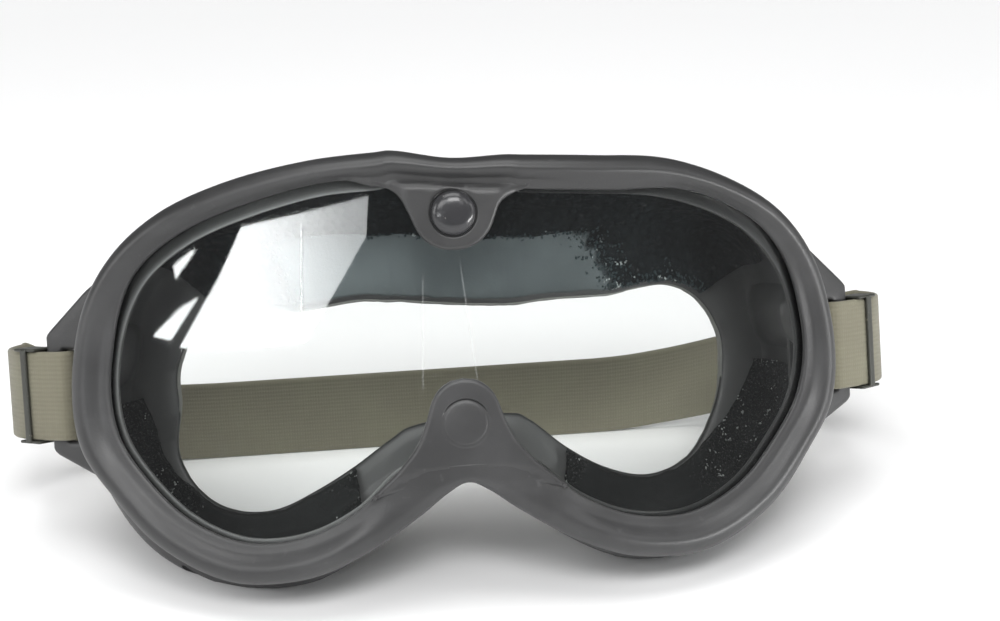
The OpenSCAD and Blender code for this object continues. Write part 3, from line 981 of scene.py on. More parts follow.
class Palette:
    """The finishes of the goggles, each made once."""

    def __init__(self) -> None:
        """Makes every material."""
        self.rubber = RubberFinish().material()
        self.cap = EnamelFinish("black_enamel", roughness=0.14).material()
        self.plain_metal = EnamelFinish("blackened_metal", tone=(0.06, 0.06, 0.06), worn=0.62).material()
        self.slide = EnamelFinish("olive_enamel", tone=(0.03, 0.031, 0.025), metal=(0.2, 0.19, 0.16),
                                  roughness=0.4, worn=0.68).material()
        self.lens = LensFinish().material()
        self.webbing = WebbingFinish().material()
        self.brow_foam = FoamFinish("brow_foam", tone=(0.012, 0.016, 0.018), dark=(0.004, 0.005, 0.006),
                                    skin=(0.18, 0.208, 0.216)).material()
        self.cheek_foam = FoamFinish("cheek_foam", tone=(0.014, 0.015, 0.015), dark=(0.005, 0.0055, 0.0055),
                                     skin=(0.02, 0.021, 0.021)).material()
        self.crumbs = CrumbFinish().material()
        self.cheek_crumbs = CrumbFinish("dry_crumbs", tone=(0.012, 0.013, 0.013),
                                        pale=(0.55, 0.56, 0.55)).material()
        self.felt = FoamFinish("lining_felt", tone=(0.3, 0.3, 0.28), dark=(0.2, 0.2, 0.185),
                               skin=(0.34, 0.34, 0.32), pore=900.0).material()
        self.thread = ThreadFinish().material()


# Pieces


class GeometryTree(Builder):
    """A tree of geometry nodes with named inputs, which ends in real meshes with a material."""

    def __init__(self, name: str, inputs: dict[str, str]) -> None:
        """Starts a tree.

        Args:
            name: the tree's name.
            inputs: name and kind of each size that the tree takes, beside its geometry.
        """
        super().__init__(bpy.data.node_groups.new(name, "GeometryNodeTree"))
        face = self.tree.interface
        face.new_socket("Geometry", in_out="INPUT", socket_type="NodeSocketGeometry")
        for label, kind in inputs.items():
            face.new_socket(label, in_out="INPUT", socket_type=f"NodeSocket{kind}")
        face.new_socket("Geometry", in_out="OUTPUT", socket_type="NodeSocketGeometry")
        self.source, self.sink = self.node("NodeGroupInput").outputs, self.node("NodeGroupOutput")

    def kept(self, label: str, value: Socket, curve: Socket) -> Node:
        """Keeps a number on the points of a curve.

        Args:
            label: the number's name.
            value: the number.
            curve: the curve.

        Returns:
            The node that gives both on.
        """
        node = self.node("GeometryNodeCaptureAttribute")
        node.capture_items.new("FLOAT", label)
        self.tree.links.new(curve, node.inputs["Geometry"])
        self.tree.links.new(value, node.inputs[label])
        return node

    def finish(self, instances: Socket, material: Socket) -> Tree:
        """Ends the tree in Realize Instances and Set Material.

        Args:
            instances: what the tree made.
            material: its finish.

        Returns:
            The tree.
        """
        real = self.node("GeometryNodeRealizeInstances", None, {0: instances})
        paint = self.node("GeometryNodeSetMaterial", None,
                          {"Geometry": real.outputs[0], "Material": material})
        self.tree.links.new(paint.outputs[0], self.sink.inputs[0])
        return self.tree

    @staticmethod
    def run(obj: Object, tree: Tree, values: dict[str, object]) -> Object:
        """Runs a tree on an object and keeps the result as its mesh.

        Args:
            obj: the object.
            tree: the tree.
            values: the value of each named input.

        Returns:
            The object, without modifiers.
        """
        modifier = obj.modifiers.new("shape", "NODES")
        modifier.node_group = tree
        for item in tree.interface.items_tree:
            if item.item_type == "SOCKET" and item.in_out == "INPUT" and item.name in values:
                modifier[item.identifier] = values[item.name]
        return applied(obj)


def finish_piece(obj: Object, material: Material, slot: str, body: Body | None, *nodes: str) -> Object:
    """Dresses a piece, puts it on its body and lets it stand for CAD nodes.

    Args:
        obj: the piece.
        material: its finish.
        slot: the record's slot of that finish; not used.
        body: what it rides on, or None.
        *nodes: the CAD nodes that it stands for.

    Returns:
        The piece.
    """
    obj.data.materials.clear()
    obj.data.materials.append(material)
    if body is not None:
        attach(obj, body.value)
    if nodes:
        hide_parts(*nodes)
    LOG.info("%s: %d points, %d faces", obj.name, len(obj.data.vertices), len(obj.data.polygons))
    return obj


@dataclass
class WingLine:
    """Sizes of the wings and of the webbing's way round them, in millimetres."""

    root: tuple[float, float] = (86.2, 33.0)
    turn: float = 35.0
    length: float = 17.4
    bar: float = 5.0
    slot: float = 4.6
    slot_height: float = 24.2
    level: float = 8.5
    thick: float = 3.0
    loop: float = 2.55
    bend_r: float = 24.0

    def direction(self) -> Array:
        """The way from the wing's root to its tip, seen from above."""
        return np.array([math.cos(math.radians(self.turn)), math.sin(math.radians(self.turn))])

    def normal(self) -> Array:
        """The way out of the wing's outer face."""
        return np.array([math.sin(math.radians(self.turn)), -math.cos(math.radians(self.turn))])

    def on_wing(self, s: float, n: float) -> Array:
        """A place s along the wing and n outside its middle."""
        return np.array(self.root) + s * self.direction() + n * self.normal()

    def centre(self) -> Array:
        """The centre of the webbing's bend beside the wing."""
        return self.on_wing(self.length, self.loop) - self.bend_r * self.normal()

    def on_bend(self, r: float, degrees: float) -> Array:
        """A place on the bend."""
        a = math.radians(degrees)
        return self.centre() + r * np.array([math.cos(a), math.sin(a)])

    def place(self, flat: Array, side: Side, up: float | Array) -> Array:
        """Row-frame places of points seen from above, at heights up.

        Args:
            flat: points seen from above.
            side: which side.
            up: their heights.

        Returns:
            The places in metres.
        """
        flat = np.atleast_2d(flat)
        z = np.broadcast_to(up, (len(flat),))
        return STANCE.to_row(np.stack([side.value * flat[:, 0], flat[:, 1], z], -1))


WING = WingLine()


@dataclass
class RubberFrame:
    """The moulding: roll, groove, skirt, face flange, wings and the lugs behind the lens."""

    roll: float = 4.2
    wall: float = 3.2
    flange: float = 2.6
    anchor: float = 4.6
    rings_per_row: int = 8
    steps: int = 3
    groove: float = 1.2
    corners: tuple[int, ...] = (0, 29, 30, 31)
    top_vents: tuple[float, ...] = (20, 36, 52)
    low_vents: tuple[float, ...] = (31, 66)
    vent_half: float = 2.7
    vent_r: float = 1.8
    # Parts of the profile, counted in its points: the inner side with painted fill light, the lip with a
    # painted highlight and the groove behind it with painted shade.
    painted_fill_side: tuple[float, float] = (19.4, 29.2)
    painted_highlight_lip: tuple[float, float] = (28.5, 29.2)
    painted_shade_groove: tuple[float, float] = (29.2, 30.4)

    def profile(self, r: Array) -> Array:
        """The moulding's profile at each row, as [outwards, back].

        Args:
            r: rows of the outline.

        Returns:
            [row, point, (outwards, back)].
        """
        w, dr, f, s = OUTLINE.width(r), OUTLINE.depth(r), self.flange, self.wall
        lip = self.roll / 4.2
        nose = smoothstep(34, 17, np.abs(r[:, 0])) * (r[:, 1] < 0)
        level = np.clip(1 - ((r[:, 1] - 16.0) / 6.4) ** 2, 0, 1)
        ridge = self.anchor * level ** 0.35 * (np.abs(r[:, 0]) > 80)
        k = lip * np.where(r[:, 1] > 0, np.minimum(1, w / 7.6), np.minimum(1, w / 8.5))
        m, h, q = w + r[:, 5], w + r[:, 6], r[:, 7]
        g, gb = np.maximum(r[:, 4] + 0.4, 1.0), self.groove
        mid, waist = 0.4 * m + 0.6 * h + 0.6, 0.5 * (0.84 * w + m)
        set_back = 2.2 * smoothstep(17, 25, -r[:, 0]) + 2.1 * smoothstep(38, 60, r[:, 0])
        set_back = set_back * smoothstep(18, 44, r[:, 1])
        fuller = smoothstep(17, 30, np.abs(r[:, 0])) * smoothstep(18, 44, r[:, 1])

        def face(share: float, rise: float | Array, flat: float) -> list[Array]:
            """A point of the roll, which flattens to a plateau at the nose."""
            return [share * w + set_back * max(1 - 2 * share, 0), -(rise * k) * (1 - nose) - flat * nose]

        z = np.zeros_like(w)
        rows = [[set_back, z - 0.2], face(0, 1.2, 2.45), face(0.12, 1.6 + 0.35 * fuller, 2.5),
                face(0.24, 2.0 + 0.65 * fuller, 2.5), face(0.38, 3.2 + 0.15 * fuller, 2.5),
                face(0.58, 4.2, 2.5), face(0.78, 3.6, 2.25), face(0.93, 1.9, 1.3), [w, z + 0.4],
                [0.99 * w, z + 3.2], [0.92 * w, z + 5.4], [0.84 * w, z + 7], [waist, z + 10.5], [m, z + 16],
                [mid, 0.75 * dr], [h, dr - 1.35 * f], [h - 0.6 * f, dr - 0.4 * f], [h - 1.6 * f, dr],
                [1 - q, dr], [-q, dr - 0.5 * f], [1 - q, dr - f], [h - s - f - 0.4 * ridge, dr - 1.15 * f],
                [h - s - 0.15 * f - 0.7 * ridge, dr - 2.1 * f],
                [mid - s - ridge, 0.72 * dr], [m - s - ridge, z + 15], [waist - s - ridge, z + 9],
                [np.minimum(w - 4.6, 0.5 * w + 1) - 0.6 * ridge, z + 4.4], [z - 0.5, z + gb + 1.5],
                [z - 0.95, z + gb + 0.8], [z - 0.85, z + gb], [g, z + gb], [g, z - 0.2]]
        return np.stack([np.stack(p, -1) for p in rows], 1)

    def smooth(self, p: Array) -> Array:
        """Rounds the profiles between their points, apart from the corners of the groove.

        Args:
            p: the profiles.

        Returns:
            The profiles with more points.
        """
        d = np.roll(p, -1, 1) - p
        length = np.linalg.norm(d, axis=2, keepdims=True)
        u = d / np.maximum(length, 1e-9)
        t = unit(u + np.roll(u, 1, 1))
        start, end = t.copy(), np.roll(t, -1, 1)
        for j in self.corners:
            start[:, j] = u[:, j]
            end[:, j - 1] = u[:, j - 1]
        nxt, out = np.roll(p, -1, 1), []
        for k in range(self.steps):
            x = k / self.steps
            h00, h10 = 2 * x**3 - 3 * x * x + 1, x**3 - 2 * x * x + x
            h01, h11 = 3 * x * x - 2 * x**3, x**3 - x * x
            out.append(h00 * p + h10 * length * start + h01 * nxt + h11 * length * end)
        return np.stack(out, 2).reshape(len(p), -1, 2)

    def vent_cutter(self) -> Object:
        """One object with a slot-shaped prism for every vent.

        Returns:
            The linked object.
        """
        solid = Solid("vent_cutter")
        places = [(sx * x, 40, 66, 0.68 * MIDDLE_DEPTH) for sx in (-1, 1) for x in self.top_vents]
        places += [(sx * x, -46, -22, 17) for sx in (-1, 1) for x in self.low_vents]
        for x, low, high, back in places:
            y = LENS_RADIUS - math.sqrt(LENS_RADIUS**2 - x * x) + back
            half, r = self.vent_half, self.vent_r
            a = np.linspace(-math.pi / 2, math.pi / 2, 9)
            right = np.stack([x + half + r * np.cos(a), y + r * np.sin(a)], -1)
            left = np.stack([x - half - r * np.cos(a), y - r * np.sin(a)], -1)
            loop = np.concatenate([right, left])
            rings = np.stack([np.concatenate([loop, np.full((len(loop), 1), z)], 1) for z in (low, high)])
            solid.loft(STANCE.to_row(rings), closed=False)
        return outward(solid.mesh())

    def wing(self, solid: Solid, side: Side) -> None:
        """Adds a wing with its slot.

        Args:
            solid: the piece to add to.
            side: which side.
        """
        top, low, n = WING.level + 0.5 * WING.slot_height, WING.level - 0.5 * WING.slot_height, WING.length
        outline = [[-3, low - 9.5], [4, low - 8], [n - 1.2, low - 2.8], [n, low - 1.6],
                   [n, top + 2.8], [n - 1.2, top + 4], [3, top + 14.5], [-3, top + 17.5]]
        slot_from = n - WING.bar - WING.slot
        low, top = low + 0.7, top - 0.7
        slot_to, half = slot_from + WING.slot, 0.5 * WING.thick
        hole = [[slot_from, low], [slot_from, top], [slot_to, top], [slot_to, low]]
        slab = Slab(fillet(outline, 2.6), -half, half, 1.2, [fillet(hole, 1.2)], grid=4.0)

        def place(flat: Array, depth: Array) -> Array:
            """Turns the plate to the wing's place."""
            spots = np.array(WING.root) + flat[:, :1] * WING.direction() - depth[:, None] * WING.normal()
            return STANCE.to_row(np.stack([side.value * spots[:, 0], spots[:, 1], flat[:, 1]], -1))

        slab.add_to(solid, place)

    def lug(self, solid: Solid, outline: Array, level: float) -> None:
        """Adds a lug behind the lens, with the hole for its snap."""
        hole = circle(0, level, 1.65, 20, clockwise=True)
        Slab(outline, 1.5, 4.0, 0.7, [hole], grid=4.0).add_to(solid, upright)

    def build(self, finish: Material) -> Object:
        """Builds and dresses the moulding.

        Args:
            finish: the rubber.

        Returns:
            The piece.
        """
        count = len(OUTLINE.rows) * self.rings_per_row
        rows = OUTLINE.at(np.arange(count) / self.rings_per_row)
        ring = STANCE.to_row(OUTLINE.placed(rows, self.smooth(self.profile(rows))))
        solid = Solid("rubber_moulding")
        solid.loft(ring, closed=True)
        body = outward(solid.mesh(35))
        cutter = self.vent_cutter()
        cut = body.modifiers.new("vents", "BOOLEAN")
        cut.operation, cut.object, cut.solver = "DIFFERENCE", cutter, "EXACT"
        applied(body)
        bpy.data.objects.remove(cutter)
        extra = Solid("rubber_extras")
        for side in Side:
            self.wing(extra, side)
        nose_root = [[-9.5, -6], [-11, -13], [11, -13], [9.5, -6]]
        top_root = [[9, 51.3], [11, 59.2], [-11, 59.2], [-9, 51.3]]
        self.lug(extra, np.concatenate([self.tip(2.2, 7.4, -10, 190, 24), nose_root]), 0.0)
        self.lug(extra, np.concatenate([self.tip(48.9, 7.3, 205, 335, 20), top_root]), SNAP_LEVEL)
        parts = outward(extra.mesh(50))
        joined = join("rubber_moulding", [body, parts])
        co = per_point(joined.data)
        co[:, 2] = np.maximum(co[:, 2], 0.0)
        joined.data.vertices.foreach_set("co", co.ravel())
        joined.data.update()
        joined.data.shade_smooth()
        joined.data.set_sharp_from_angle(angle=math.radians(38))
        self.mark_inside(joined, ring)
        return finish_piece(joined, finish, "rubber", Body.GOGGLES, "rubber_frame")

    def mark_inside(self, obj: Object, ring: Array) -> None:
        """Stores the number inside, which paints light and shade: one on the inner side for painted fill
        light, up to two on the lip for a painted highlight, below zero in the lens's groove for painted
        shade.

        Args:
            obj: the whole moulding.
            ring: the profiles that it was lofted from.
        """
        per = ring.shape[1]
        tree = KDTree(ring.shape[0] * per)
        for i, p in enumerate(ring.reshape(-1, 3)):
            tree.insert(p, i)
        tree.balance()
        station = np.array([tree.find(v.co)[1] % per for v in obj.data.vertices]) / self.steps
        layer = obj.data.attributes.new("inside", "FLOAT", "POINT")
        x = per_point(obj.data)[:, 0] / MM

        def within(part: tuple[float, float]) -> Array:
            """Whether each point lies in a part of the profile."""
            return (station > part[0]) & (station < part[1])

        value = within(self.painted_fill_side).astype(float)
        # The lip's painted highlight is brightest on the left, where the light falls, and fainter to the
        # right.
        value = np.where(within(self.painted_highlight_lip), 2 - 1.3 * smoothstep(-10, 20, x), value)
        value[within(self.painted_shade_groove)] = -1
        layer.data.foreach_set("value", value)

    @staticmethod
    def tip(level: float, r: float, start: float, stop: float, steps: int) -> Array:
        """An arc of a rounded end."""
        a = np.radians(np.linspace(start, stop, steps + 1))
        return np.stack([r * np.cos(a), level + r * np.sin(a)], -1)


def join(name: str, pieces: Sequence[Object]) -> Object:
    """Joins meshes to one object, with their points as they are.

    Args:
        name: the new name.
        pieces: the objects, which are removed.

    Returns:
        The linked object.
    """
    points, faces, uvs, start = [], [], [], 0
    has_uv = all(p.data.uv_layers for p in pieces)
    for p in pieces:
        points.append(per_point(p.data))
        faces += [[start + i for i in f.vertices] for f in p.data.polygons]
        if has_uv:
            uv = np.zeros(len(p.data.loops) * 2)
            p.data.uv_layers[0].data.foreach_get("uv", uv)
            uvs.append(uv)
        start += len(points[-1])
    data = bpy.data.meshes.new(name)
    data.from_pydata(np.concatenate(points).tolist(), [], faces)
    if has_uv:
        data.uv_layers.new(name="run").data.foreach_set("uv", np.concatenate(uvs))
    data.update()
    for p in pieces:
        old = p.data
        bpy.data.objects.remove(p)
        bpy.data.meshes.remove(old)
    return linked(name, data)


@dataclass
class LensSheet:
    """The bent clear sheet with a hole for each snap."""

    thick: float = 0.9
    hole: float = 2.8
    levels: tuple[float, ...] = (0.0, SNAP_LEVEL)

    def build(self, finish: Material) -> Object:
        """Builds and dresses the sheet.

        Args:
            finish: the clear sheet.

        Returns:
            The piece.
        """
        rows = OUTLINE.at(np.arange(len(OUTLINE.rows) * 4) / 4)
        e = np.stack([rows[:, 2] - rows[:, 0], rows[:, 3] - rows[:, 1]], -1) / OUTLINE.width(rows)[:, None]
        loop = (rows[:, :2] + rows[:, 4:5] * e)[::-1]
        holes = [circle(0, z, self.hole, 36, clockwise=True) for z in self.levels]
        solid = Solid("lens_sheet")
        Slab(loop, 0.0, self.thick, 0.12, holes, grid=3.5, steps=2).add_to(solid, on_lens)
        obj = outward(solid.mesh(50))
        centre = STANCE.to_row(np.array([0.0, LENS_RADIUS, 0.0]))
        up = STANCE.up()
        normals = []
        for v in obj.data.vertices:
            off = np.array(v.co) - centre
            off -= up * (off @ up)
            r = np.linalg.norm(off) / MM
            face = unit(off)
            if abs(r - LENS_RADIUS) < 0.02:
                normals.append(tuple(face))
            elif abs(r - LENS_RADIUS + self.thick) < 0.02:
                normals.append(tuple(-face))
            else:
                normals.append((0.0, 0.0, 0.0))
        obj.data.normals_split_custom_set_from_vertices(normals)
        return finish_piece(obj, finish, "lens", Body.GOGGLES, "lens")


@dataclass
class SnapFlap:
    """A rubber tongue that folds over the lens and holds its snap."""

    name: str
    node: str
    body: Body
    half: tuple[tuple[float, float], ...]
    level: float
    ring: float
    groove: float
    hinge: tuple[float, float]
    front: float = -2.7
    back: float = -0.3

    def set_over(self, flat: Array) -> Array:
        """How much the root of the top flap follows the set of the brow."""
        return brow_set(flat[:, 0]) * smoothstep(50.0, 54.5, flat[:, 1])

    def relief(self, flat: Array) -> Array:
        """How far the face lies back: a groove round the snap, and the root that dips into the roll.

        Args:
            flat: flat places.

        Returns:
            The depths in millimetres.
        """
        across, up = np.abs(flat[:, 0]), flat[:, 1] + self.set_over(flat)
        r = np.hypot(across, up - self.level)
        ring = smoothstep(self.ring - 0.05, self.ring + 0.05, r)
        ring = ring * (1 - smoothstep(self.ring + 0.1, self.ring + 0.4, r))
        if self.level < 10:
            marked = 0.12 + 0.88 * smoothstep(0.2, 0.9, (up - self.level) / self.ring)
            line = np.interp(across, (0.0, 9.5, 16.6, 27.0), (-9.85, -9.95, -11.4, -20.0))
            root = smoothstep(-4.0, 0.0, line - up) * 0.2 + smoothstep(0.3, 1.8, line - up) * 0.6
            return ring * self.groove * marked + root
        lower = smoothstep(self.ring, self.ring - 0.3, r) * 0.45
        root = smoothstep(55.1, 56.8, up) * 2.1
        sides = smoothstep(10.5, 15.5, across) * 1.9
        return ring * self.groove + lower + np.maximum(root, sides)

    def build(self, finish: Material) -> Object:
        """Builds and dresses the flap.

        Args:
            finish: the rubber.

        Returns:
            The piece.
        """
        half = np.array(self.half)
        right = catmull(half, 4)
        left = right[::-1][:-1] * np.array([-1, 1])
        left = left[left[:, 0] < -1e-6]
        loop = np.concatenate([right, left])
        area = 0.5 * np.sum(loop[:, 0] * np.roll(loop[:, 1], -1) - np.roll(loop[:, 0], -1) * loop[:, 1])
        if area < 0:
            loop = loop[::-1]
        loop = loop - np.stack([np.zeros(len(loop)), self.set_over(loop)], -1)
        offsets = (-0.9, -0.3, 0.0, 0.15, 0.3, 0.5, 0.75, 1.2)
        rings = [circle(0, self.level, self.ring + k, 48) for k in offsets]
        solid = Solid(self.name)
        slab = Slab(loop, self.front, self.back, 0.95, inner=np.concatenate(rings), grid=1.0,
                    relief=self.relief, steps=6)
        slab.add_to(solid, upright)
        obj = outward(solid.mesh(60))
        finish_piece(obj, finish, "rubber", None, self.node)
        start, end = (STANCE.to_row(np.array([0.0, -1.5, z])) for z in self.hinge)
        tuple(start)
        tuple(end)
        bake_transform(obj)
        return obj


@dataclass
class SnapCap:
    """A turned cap on a flap."""

    name: str
    node: str
    body: Body
    level: float
    profile: tuple[tuple[float, float], ...]
    slot: str
    sides: int = 64

    def build(self, finish: Material) -> Object:
        """Turns the profile, as [radius, depth], about the snap's axis.

        Args:
            finish: its material.

        Returns:
            The piece.
        """
        p = catmull(np.array(self.profile), 4)
        a = np.arange(self.sides) / self.sides * 2 * math.pi
        points = [[0.0, p[0, 1], self.level]]
        for r, d in p[1:-1]:
            points += [[r * math.cos(t), d, self.level + r * math.sin(t)] for t in a]
        points.append([0.0, p[-1, 1], self.level])
        n, rings = self.sides, len(p) - 2
        faces = [[0, 1 + (j + 1) % n, 1 + j] for j in range(n)]
        for k in range(rings - 1):
            b = 1 + k * n
            faces += [[b + j, b + (j + 1) % n, b + n + (j + 1) % n, b + n + j] for j in range(n)]
        b, last = 1 + (rings - 1) * n, len(points) - 1
        faces += [[b + j, b + (j + 1) % n, last] for j in range(n)]
        solid = Solid(self.name)
        solid.add(STANCE.to_row(np.array(points)), faces)
        obj = outward(solid.mesh(50))
        return finish_piece(obj, finish, self.slot, self.body, self.node)


class Ribbon:
    """Webbing that follows a path, with rounded edges and a map along and across it."""

    def __init__(self, name: str, width: float = WEB_WIDTH, thick: float = 1.5) -> None:
        """Starts a ribbon of a width and thickness in millimetres."""
        self.name, self.width, self.thick = name, width, thick

    def tree(self) -> Tree:
        """The nodes that sweep a rounded strip along a path and map it along and across.

        Returns:
            The tree.
        """
        sizes = {"Width": "Float", "Thickness": "Float", "Rounding": "Float", "Webbing": "Material"}
        build = GeometryTree(f"{self.name}_nodes", sizes)
        node, source = build.node, build.source
        path = node("GeometryNodeMeshToCurve", None, {"Mesh": source["Geometry"]})
        strip = node("GeometryNodeCurvePrimitiveQuadrilateral", None,
                     {"Width": source["Width"], "Height": source["Thickness"]})
        rounded = node("GeometryNodeFilletCurve", {"mode": "POLY"},
                       {"Count": 3, "Limit Radius": True, "Radius": source["Rounding"],
                        "Curve": strip.outputs["Curve"]})
        length, place = node("GeometryNodeSplineParameter"), node("GeometryNodeInputPosition")
        split = node("ShaderNodeSeparateXYZ", None, {0: place.outputs[0]})
        run = build.kept("Along", length.outputs["Length"], path.outputs["Curve"])
        edge = build.kept("Across", split.outputs["X"], rounded.outputs["Curve"])
        across = node("GeometryNodeInputNamedAttribute", {"data_type": "FLOAT_VECTOR"}, {"Name": "across"})
        lie = node("GeometryNodeSetCurveNormal", {"mode": "FREE"},
                   {"Curve": run.outputs["Geometry"], "Normal": across.outputs["Attribute"]})
        sweep = node("GeometryNodeCurveToMesh", None,
                     {"Fill Caps": True, "Curve": lie.outputs["Curve"],
                      "Profile Curve": edge.outputs["Geometry"]})
        both = node("ShaderNodeCombineXYZ", None, {"X": run.outputs["Along"], "Y": edge.outputs["Across"]})
        store = node("GeometryNodeStoreNamedAttribute", {"data_type": "FLOAT2", "domain": "CORNER"},
                     {"Name": "run", "Geometry": sweep.outputs["Mesh"], "Value": both.outputs[0]})
        return build.finish(store.outputs["Geometry"], source["Webbing"])

    def build(self, centres: Array, ups: Array, finish: Material) -> Object:
        """Sweeps the strip.

        Args:
            centres: places of the ribbon's middle, in metres.
            ups: directions across the webbing.
            finish: the webbing.

        Returns:
            The linked object, with a map in metres.
        """
        data = bpy.data.meshes.new(self.name)
        data.from_pydata(centres.tolist(), [(i, i + 1) for i in range(len(centres) - 1)], [])
        layer = data.attributes.new("across", "FLOAT_VECTOR", "POINT")
        layer.data.foreach_set("vector", unit(ups).ravel())
        obj = linked(self.name, data)
        width, thick = self.width * MM, self.thick * MM
        values = {"Width": width, "Thickness": thick, "Rounding": 0.45 * thick, "Webbing": finish}
        made = outward(GeometryTree.run(obj, self.tree(), values))
        made.data.shade_smooth()
        made.data.set_sharp_from_angle(angle=math.radians(50))
        return made


@dataclass
class Headband:
    """The length of webbing that runs through both wings and round behind them."""

    tail_r: float = 18.9
    back_y: float = 79.5
    width: float = WEB_WIDTH
    right_back: tuple[tuple[float, ...], ...] = (
        (103, -4.3, 26, 0.8), (92, -0.9, 20, 0.5), (76, -0.1, 15.6, 0.2), (58, 0, 12.6, 0), (40, 0, 0, 0))
    left_back: tuple[tuple[float, ...], ...] = (
        (-103.5, -4.3, 23.5, 0.7), (-94, -0.7, 15.5, 0.3), (-80, -0.1, 12, 0.1), (-62, 0, 0, 0),
        (-40, 0, 0, 0))

    def side_path(self) -> Array:
        """Places seen from above, from the layer behind a wing round its bar and along the bend.

        Returns:
            Flat places.
        """
        mid = WING.length - WING.bar + 0.5
        path = [WING.on_bend(self.tail_r, a) for a in (-51, -54)]
        path += [WING.on_wing(WING.length - 1, -WING.loop), WING.on_wing(mid, -WING.loop)]
        turns = [math.radians(a) for a in range(120, 241, 30)]
        path += [WING.on_wing(mid + WING.loop * math.cos(t), -WING.loop * math.sin(t)) for t in turns]
        path += [WING.on_wing(mid, WING.loop), WING.on_wing(WING.length - 1, WING.loop)]
        path += [WING.on_bend(WING.bend_r, -55 + 77 * i / 12) for i in range(14)]
        return np.array(path)

    def stations(self) -> Array:
        """The whole way round as [x, y, z, share of the lean], in millimetres of the row frame.

        Returns:
            One row for each place.
        """
        side = self.side_path()
        local = np.stack([side[:, 0], side[:, 1], np.full(len(side), WING.level)], -1)
        right = np.concatenate([STANCE.to_row(local) / MM, np.ones((len(side), 1))], 1)
        left = right[::-1] * np.array([-1, 1, 1, 1])

        def back(q: Sequence[float]) -> list[float]:
            """A place of the free back."""
            return [q[0], q[1] + self.back_y - STANCE.mid_y, max(q[2], 0.5 * self.width), q[3]]

        middle = [back(q) for q in (*self.right_back, (0, 0, 0, 0), *self.left_back[::-1])]
        whole = np.concatenate([right, np.array(middle), left])
        fine = catmull(whole, 5)
        fine[:, 3] = np.clip(fine[:, 3], 0, 1)
        fine[:, 2] = np.maximum(fine[:, 2], 0.5 * self.width)
        return fine

    def build(self, finish: Material) -> Object:
        """Builds and dresses the headband.

        Args:
            finish: the webbing.

        Returns:
            The piece.
        """
        s = self.stations()
        lean = STANCE.lean * s[:, 3]
        ups = np.stack([np.zeros(len(s)), np.sin(lean), np.cos(lean)], -1)
        obj = Ribbon("headband_webbing", self.width).build(s[:, :3] * MM, ups, finish)
        return finish_piece(obj, finish, "webbing", Body.GOGGLES, "headband")


@dataclass
class SewnEnd:
    """The end of the webbing: from behind the wing, round the slide's far bar and sewn down."""

    side: Side
    rest: float = -42.0
    bar_r: float = 20.6
    bar_half: float = 9.5
    tail_r: float = 18.93
    wrap_r: float = 1.62
    thick: float = 1.44
    bend_span: tuple[float, float] = (-51.5, -46.5)
    seams: tuple[float, ...] = (1.2, 2.7)
    seam_rise: float = 0.76
    seam_half: float = 10.2

    def bar(self) -> tuple[Array, Array, Array]:
        """The slide's far bar, the way out of the bend there and the way along it.

        Returns:
            The three, seen from above.
        """
        degrees = self.rest + self.bar_half
        a = math.radians(degrees)
        out, along = np.array([math.cos(a), math.sin(a)]), np.array([-math.sin(a), math.cos(a)])
        return WING.on_bend(self.bar_r, degrees), out, along

    def path(self) -> Array:
        """Places seen from above.

        Returns:
            Flat places along the webbing.
        """
        arc = [WING.on_bend(self.tail_r, a) for a in np.linspace(-53.5, self.rest + self.bar_half - 6, 46)]
        bar, out, along = self.bar()
        turns = np.linspace(math.pi, 0, 11)
        turn = [bar + self.wrap_r * (out * math.cos(t) + along * math.sin(t)) for t in turns]
        back = [bar + self.wrap_r * out - along * k for k in (0.8, 1.7, 2.6, 3.3)]
        return np.array(arc + turn + back)

    def build(self, finish: Material, thread: Material) -> list[Object]:
        """Builds the webbing and its stitches.

        Args:
            finish: the webbing.
            thread: the thread.

        Returns:
            The two pieces.
        """
        word, body = self.side.word(), self.side.slide()
        flat = self.path()
        centres = WING.place(flat, self.side, WING.level)
        ups = np.tile(STANCE.up() * self.side.value, (len(centres), 1))
        obj = Ribbon(f"{word}_sewn_webbing", thick=self.thick).build(centres, ups, finish)
        finish_piece(obj, finish, "webbing", None, f"{word}_sewn_end")
        turns = np.array([WING.on_bend(self.tail_r, a) for a in self.bend_span])
        start, end = WING.place(turns, self.side, WING.level)
        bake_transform(obj)
        bar, out, along = self.bar()
        heights = WING.level + np.array([-self.seam_half, self.seam_half])
        rows = []
        for k in self.seams:
            spot = bar + (self.wrap_r + self.seam_rise) * out - along * k
            rows.append(WING.place(np.tile(spot, (2, 1)), self.side, heights))
        stitches = StitchRows(f"{word}_stitches").build(rows, thread)
        finish_piece(stitches, thread, "webbing", body)
        return [obj, stitches]


